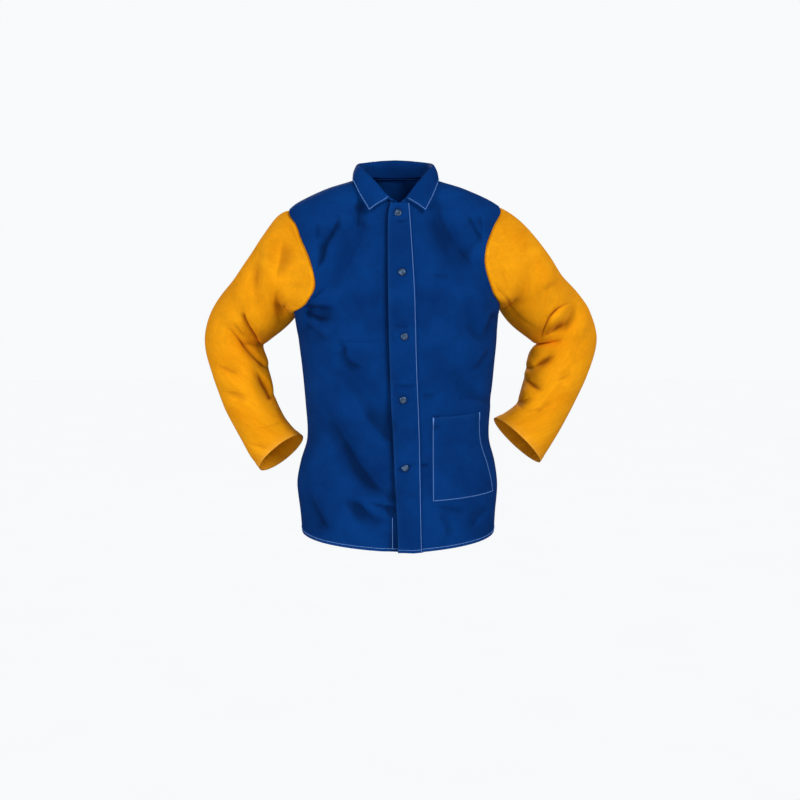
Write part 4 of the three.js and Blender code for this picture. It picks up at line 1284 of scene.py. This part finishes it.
def pick_top(obj):
    """Selects the highest faces of an object in edit mode."""
    bpy.ops.object.mode_set(mode="OBJECT")
    top = max(p.center.z for p in obj.data.polygons)
    for part in (obj.data.vertices, obj.data.edges, obj.data.polygons):
        part.foreach_set("select", [False] * len(part))
    for p in obj.data.polygons:
        p.select = p.center.z > top - WELD and p.normal.z > UPWARD
    bpy.ops.object.mode_set(mode="EDIT")
    bpy.ops.mesh.select_mode(type="FACE")


def snap_cap():
    bpy.ops.object.select_all(action="DESELECT")
    base = SNAP_BASE * MM
    bpy.ops.mesh.primitive_cylinder_add(
        vertices=SNAP_SIDES, radius=SNAP_RADIUS * MM, depth=base, location=(0, 0, base / 2)
    )
    cap = bpy.context.object
    bpy.ops.object.transform_apply(location=True, rotation=True, scale=True)
    bpy.ops.object.mode_set(mode="EDIT")
    pick_top(cap)
    for inset, rise in SNAP_STEPS:
        bpy.ops.mesh.inset(thickness=inset * MM)
        bpy.ops.transform.translate(value=(0, 0, rise * MM))
    bpy.ops.object.mode_set(mode="OBJECT")
    bevel = cap.modifiers.new("round", "BEVEL")
    bevel.width = SNAP_BEVEL * MM
    bevel.segments = 2
    bevel.limit_method = "ANGLE"
    bpy.ops.object.modifier_apply(modifier=bevel.name)
    bpy.ops.object.shade_smooth_by_angle(angle=SNAP_CRISP)
    return cap


cap = snap_cap()
print("one cap has", len(cap.data.polygons), "faces")

# %% Five snaps on the placket
snaps = []
for name, place in sorted(snap_places.items()):
    gap = np.hypot(strip[..., 0] - place[0], strip[..., 2] - place[2])
    j, k = np.unravel_index(np.argmin(gap), gap.shape)
    facing = Vector(strip_normals[j, k])
    seat = Vector((place[0], strip[j, k, 1], place[2])) * MM
    mesh = cap.data.copy()
    turn = facing.to_track_quat("Z", "Y").to_matrix().to_4x4()
    mesh.transform(Matrix.Translation(seat + facing * AIR * MM) @ turn)
    piece = add_object(name + "_cap", mesh)
    sew_in(piece, "snap_metal", name)
    snaps.append(piece)
bpy.data.objects.remove(cap)

# %% [markdown]
# ## Finishes
# Every finish is built from noise and waves. Those of the cloth are measured in metres on the flat sheet,
# and each pattern's scale comes from a real size in millimetres. One attribute holds painted shade: it tells
# how deep a point lies in a fold, a seam or beside the placket and the snaps, and the colour is darkened
# there in place of shadow. The `wear` attribute marks the edges, where the colour is rubbed away.

# %% Making a material
BLEND = {"data_type": "RGBA"}
TIMES = {"data_type": "RGBA", "blend_type": "MULTIPLY"}


def linear(colour):
    """An sRGB hex colour as linear RGBA."""
    parts = [int(colour[i : i + 2], 16) / 255 for i in (1, 3, 5)]
    return (*[c / 12.92 if c <= 0.04045 else ((c + 0.055) / 1.055) ** 2.4 for c in parts], 1)


def add(tree, kind, inputs=None, links=None, **settings):
    """A node with its settings, its input values and its links."""
    node = tree.nodes.new("ShaderNode" + kind)
    for key, value in settings.items():
        setattr(node, key, value)
    for key, value in (inputs or {}).items():
        node.inputs[key].default_value = value
    for key, socket in (links or {}).items():
        tree.links.new(socket, node.inputs[key])
    return node


def new_material(name):
    material = bpy.data.materials.new(name)
    material.use_nodes = True
    return material, material.node_tree, material.node_tree.nodes["Principled BSDF"]


print("white is", linear("#ffffff"))

# %% Cotton twill
# Blue cotton twill: matt, deep blue, with faint slanting ribs, slightly faded on its edges and uneven from
# the dye. Painted shade darkens it in its folds, along its seams and round the placket and the snaps.
# The ribs are drawn about twice as coarse as the real ones, or they would not show.
# A wave node of scale 1 repeats every 0.628 m along each thread.
TWILL, WAVE_REPEAT = 1.4 * MM, 0.628
DYE, SLUB = 111 * MM, 3.85 * MM


def cotton_twill():
    material, tree, shader = new_material("cotton_twill")
    cloth = add(tree, "UVMap", uv_map="flat_cloth").outputs["UV"]
    painted_shade = add(tree, "Attribute", attribute_name="painted_shade").outputs["Fac"]
    wear = add(tree, "Attribute", attribute_name="wear").outputs["Fac"]
    patchy = {"Scale": 1 / DYE, "Detail": 4, "Roughness": 0.6}
    dye = add(tree, "TexNoise", patchy, {"Vector": cloth}).outputs["Fac"]
    slub = add(tree, "TexNoise", {"Scale": 1 / SLUB, "Detail": 3}, {"Vector": cloth}).outputs["Fac"]
    slanted = {"Scale": WAVE_REPEAT / TWILL, "Distortion": 1.2, "Detail": 1, "Detail Scale": 2}
    ribs = add(tree, "TexWave", slanted, {"Vector": cloth}, bands_direction="DIAGONAL").outputs["Fac"]
    deep, lit, faded = linear("#022b66"), linear("#043c82"), linear("#1f559c")
    cloudy = add(tree, "MapRange", {"From Min": 0.3, "From Max": 0.7}, {"Value": dye}).outputs["Result"]
    base = add(tree, "Mix", {6: deep, 7: lit}, {0: cloudy}, **BLEND).outputs[2]
    uneven = {"From Min": 0.25, "From Max": 0.75, "To Min": 0.92, "To Max": 1.06}
    grain = add(tree, "MapRange", uneven, {"Value": slub}).outputs["Result"]
    woven = add(tree, "Mix", {0: 1.0}, {6: base, 7: grain}, **TIMES).outputs[2]
    rubbed = add(tree, "Math", {1: 0.3}, {0: wear}, operation="MULTIPLY", use_clamp=True).outputs[0]
    worn = add(tree, "Mix", {7: faded}, {0: rubbed, 6: woven}, **BLEND).outputs[2]
    # painted shade: the colour is multiplied darker where the painted-shade attribute is high
    darker = {"From Min": 0.1, "From Max": 2.4, "To Min": 1.0, "To Max": 0.45}
    shade = add(tree, "MapRange", darker, {"Value": painted_shade}).outputs["Result"]
    colour = add(tree, "Mix", {0: 1.0}, {6: worn, 7: shade}, **TIMES).outputs[2]
    tree.links.new(colour, shader.inputs["Base Color"])
    rough = add(tree, "MapRange", {"To Min": 0.8, "To Max": 0.95}, {"Value": slub}).outputs["Result"]
    tree.links.new(rough, shader.inputs["Roughness"])
    weave = add(tree, "Bump", {"Strength": 0.35, "Distance": 0.3 * MM}, {"Height": ribs}).outputs["Normal"]
    fuzz = add(tree, "Bump", {"Strength": 0.16, "Distance": 0.4 * MM}, {"Height": slub, "Normal": weave})
    tree.links.new(fuzz.outputs["Normal"], shader.inputs["Normal"])
    shader.inputs["Specular IOR Level"].default_value = 0.05
    shader.inputs["Sheen Weight"].default_value = 0.03
    shader.inputs["Sheen Tint"].default_value = linear("#3f70d8")
    return material


# %% Split leather
# Golden split leather: a velvety face without shine, mottled where the nap is brushed one way or the other,
# with painted shade turning it brown in its creases and along its armhole seam, and rubbed pale on its edges.
TAN, BRUSHED, NAP = 71.4 * MM, 14.3 * MM, 1.61 * MM


def split_leather():
    material, tree, shader = new_material("split_leather")
    hide = add(tree, "UVMap", uv_map="flat_cloth").outputs["UV"]
    painted_shade = add(tree, "Attribute", attribute_name="painted_shade").outputs["Fac"]
    wear = add(tree, "Attribute", attribute_name="wear").outputs["Fac"]
    patchy = {"Scale": 1 / TAN, "Detail": 5, "Distortion": 0.6}
    tan = add(tree, "TexNoise", patchy, {"Vector": hide}).outputs["Fac"]
    strokes = {"Scale": 1 / BRUSHED, "Detail": 4, "Distortion": 1.2}
    brushed = add(tree, "TexNoise", strokes, {"Vector": hide}).outputs["Fac"]
    velvet = {"Scale": 1 / NAP, "Detail": 3, "Roughness": 0.65}
    nap = add(tree, "TexNoise", velvet, {"Vector": hide}).outputs["Fac"]
    deep, lit, pale = linear("#ee9504"), linear("#fea90d"), linear("#fcc058")
    cloudy = add(tree, "MapRange", {"From Min": 0.3, "From Max": 0.7}, {"Value": tan}).outputs["Result"]
    base = add(tree, "Mix", {6: deep, 7: lit}, {0: cloudy}, **BLEND).outputs[2]
    uneven = {"From Min": 0.3, "From Max": 0.7, "To Min": 0.93, "To Max": 1.06}
    stroke = add(tree, "MapRange", uneven, {"Value": brushed}).outputs["Result"]
    napped = add(tree, "Mix", {0: 1.0}, {6: base, 7: stroke}, **TIMES).outputs[2]
    rubbed = add(tree, "Math", {1: 0.3}, {0: wear}, operation="MULTIPLY", use_clamp=True).outputs[0]
    worn = add(tree, "Mix", {7: pale}, {0: rubbed, 6: napped}, **BLEND).outputs[2]
    # painted shade: the colour turns brown where the painted-shade attribute is high
    crease = add(tree, "MapRange", {"From Min": 0.15, "From Max": 2.6}, {"Value": painted_shade}).outputs["Result"]
    colour = add(tree, "Mix", {7: linear("#a85c04")}, {0: crease, 6: worn}, **BLEND).outputs[2]
    tree.links.new(colour, shader.inputs["Base Color"])
    rough = add(tree, "MapRange", {"To Min": 0.75, "To Max": 0.95}, {"Value": nap}).outputs["Result"]
    tree.links.new(rough, shader.inputs["Roughness"])
    coarse = add(tree, "Bump", {"Strength": 0.3, "Distance": 1.2 * MM}, {"Height": brushed})
    below = coarse.outputs["Normal"]
    fine = add(tree, "Bump", {"Strength": 0.45, "Distance": 0.5 * MM}, {"Height": nap, "Normal": below})
    tree.links.new(fine.outputs["Normal"], shader.inputs["Normal"])
    shader.inputs["Specular IOR Level"].default_value = 0.08
    shader.inputs["Sheen Weight"].default_value = 0.08
    shader.inputs["Sheen Tint"].default_value = linear("#ffcf70")
    return material


# %% Thread and gunmetal
# Pale blue sewing thread: soft and uneven in tone. The noise is finer than a stitch, as its plies are.
PLIES = 0.714 * MM


def sewing_thread():
    material, tree, shader = new_material("sewing_thread")
    place = add(tree, "TexCoord").outputs["Object"]
    plies = add(tree, "TexNoise", {"Scale": 1 / PLIES, "Detail": 2}, {"Vector": place}).outputs["Fac"]
    deep, lit = linear("#4f88d8"), linear("#94bbf2")
    colour = add(tree, "Mix", {6: deep, 7: lit}, {0: plies}, **BLEND).outputs[2]
    tree.links.new(colour, shader.inputs["Base Color"])
    twist = add(tree, "Bump", {"Strength": 0.5, "Distance": 0.2 * MM}, {"Height": plies}).outputs["Normal"]
    tree.links.new(twist, shader.inputs["Normal"])
    shader.inputs["Roughness"].default_value = 0.7
    shader.inputs["Specular IOR Level"].default_value = 0.2
    return material


# Gunmetal: dark blue-grey plated steel with cloudy reflections and fine rubbing.
CLOUD, SCUFF = 3.33 * MM, 0.455 * MM


def gunmetal():
    material, tree, shader = new_material("gunmetal")
    place = add(tree, "TexCoord").outputs["Object"]
    cloud = add(tree, "TexNoise", {"Scale": 1 / CLOUD, "Detail": 3}, {"Vector": place}).outputs["Fac"]
    scuff = add(tree, "TexNoise", {"Scale": 1 / SCUFF, "Detail": 2}, {"Vector": place}).outputs["Fac"]
    deep, lit = linear("#223044"), linear("#5a7496")
    colour = add(tree, "Mix", {6: deep, 7: lit}, {0: cloud}, **BLEND).outputs[2]
    tree.links.new(colour, shader.inputs["Base Color"])
    rough = add(tree, "MapRange", {"To Min": 0.25, "To Max": 0.5}, {"Value": scuff}).outputs["Result"]
    tree.links.new(rough, shader.inputs["Roughness"])
    dents = add(tree, "Bump", {"Strength": 0.15, "Distance": 0.1 * MM}, {"Height": cloud}).outputs["Normal"]
    tree.links.new(dents, shader.inputs["Normal"])
    shader.inputs["Metallic"].default_value = 0.85
    return material


# %% Dressing the pieces
cotton, leather, thread, steel = cotton_twill(), split_leather(), sewing_thread(), gunmetal()
cottons = [sheets["front_left"], sheets["front_right"], sheets["back_panel"], collar, placket, pocket]
leathers = [sheets["sleeve_left"], sheets["sleeve_right"]]
for pieces, material in ((cottons, cotton), (leathers, leather), (threads, thread), (snaps, steel)):
    for piece in pieces:
        piece.data.materials.clear()
        piece.data.materials.append(material)
    print(material.name, "dresses", len(pieces), "pieces")

# %% [markdown]
# ## Studio
# The jacket hangs in a white studio. A large soft light stands high on the right and a weaker one on the
# left. Faint ones fill the front, the underside and both sides, one lights the back, and the white
# surroundings do the rest. The focal length is given in pixels of a picture 800 pixels wide.

# %% Camera
CAMERA_PLACE, CAMERA_TILT = (0, -2.5, -0.252), 4.80
SENSOR, PICTURE, FOCAL = 36, 800, 1194.67
camera_data = bpy.data.cameras.new("camera")
camera = add_object("camera", camera_data)
camera.location = CAMERA_PLACE
camera.rotation_euler = (math.radians(90 - CAMERA_TILT), 0, 0)
camera_data.sensor_width = SENSOR
camera_data.lens = SENSOR * FOCAL / PICTURE
bpy.context.scene.camera = camera
bpy.context.scene.view_settings.view_transform = "Standard"
print("lens of", round(camera_data.lens, 1), "mm")

# %% Lights and floor
AIM = Vector((0, 0, -0.35))
LIGHTS = {
    "key": {"place": (2.5, -3.3, 2.0), "size": 1.5, "power": 108},
    "second": {"place": (-2.7, -3.1, 0.2), "size": 1.5, "power": 58},
    "front": {"place": (0.2, -4.4, 0.0), "size": 2.0, "power": 26},
    "bounce": {"place": (0.0, -1.7, -2.2), "size": 2.2, "power": 9},
    "back": {"place": (-0.9, 3.9, 1.2), "size": 1.8, "power": 75},
    "left_side": {"place": (-2.6, -0.6, 0.0), "size": 1.4, "power": 8},
    "right_side": {"place": (2.6, 0.2, 0.0), "size": 1.4, "power": 5},
}
FLOOR_LEVEL, FLOOR_RADIUS, FLOOR_SIDES, PAPER = -1.3, 14, 96, 333 * MM
BACKDROP = linear("#f8fafb")
world = bpy.data.worlds.new("studio")
bpy.context.scene.world = world
world.use_nodes = True
sky = world.node_tree
lit_by = add(sky, "Background", {"Color": linear("#eef2f8"), "Strength": 0.24}).outputs[0]
seen = add(sky, "Background", {"Color": BACKDROP, "Strength": 1.0}).outputs[0]
eye = add(sky, "LightPath").outputs["Is Camera Ray"]
both = add(sky, "MixShader", links={0: eye, 1: lit_by, 2: seen}).outputs[0]
sky.links.new(both, sky.nodes["World Output"].inputs["Surface"])
for name, light in LIGHTS.items():
    data = bpy.data.lights.new(name, "AREA")
    data.shape = "DISK"
    data.size = light["size"]
    data.energy = light["power"]
    lamp = add_object(name, data)
    lamp.location = light["place"]
    lamp.rotation_euler = (AIM - lamp.location).to_track_quat("-Z", "Y").to_euler()

bpy.ops.object.select_all(action="DESELECT")
bpy.ops.mesh.primitive_circle_add(
    vertices=FLOOR_SIDES, radius=FLOOR_RADIUS, fill_type="NGON", location=(0, 0, FLOOR_LEVEL)
)
floor = bpy.context.object
floor.name = "floor"
floor.visible_diffuse = False
floor.visible_glossy = False
material, tree, shader = new_material("studio_floor")
place = add(tree, "TexCoord").outputs["Object"]
paper = add(tree, "TexNoise", {"Scale": 1 / PAPER, "Detail": 2}, {"Vector": place}).outputs["Fac"]
white = add(tree, "Mix", {6: linear("#f6f8f9"), 7: BACKDROP}, {0: paper}, **BLEND).outputs[2]
tree.links.new(white, shader.inputs["Emission Color"])
shader.inputs["Emission Strength"].default_value = 1.0
shader.inputs["Base Color"].default_value = linear("#101010")
shader.inputs["Specular IOR Level"].default_value = 0
floor.data.materials.append(material)
print("studio is lit by", len(LIGHTS), "lights")
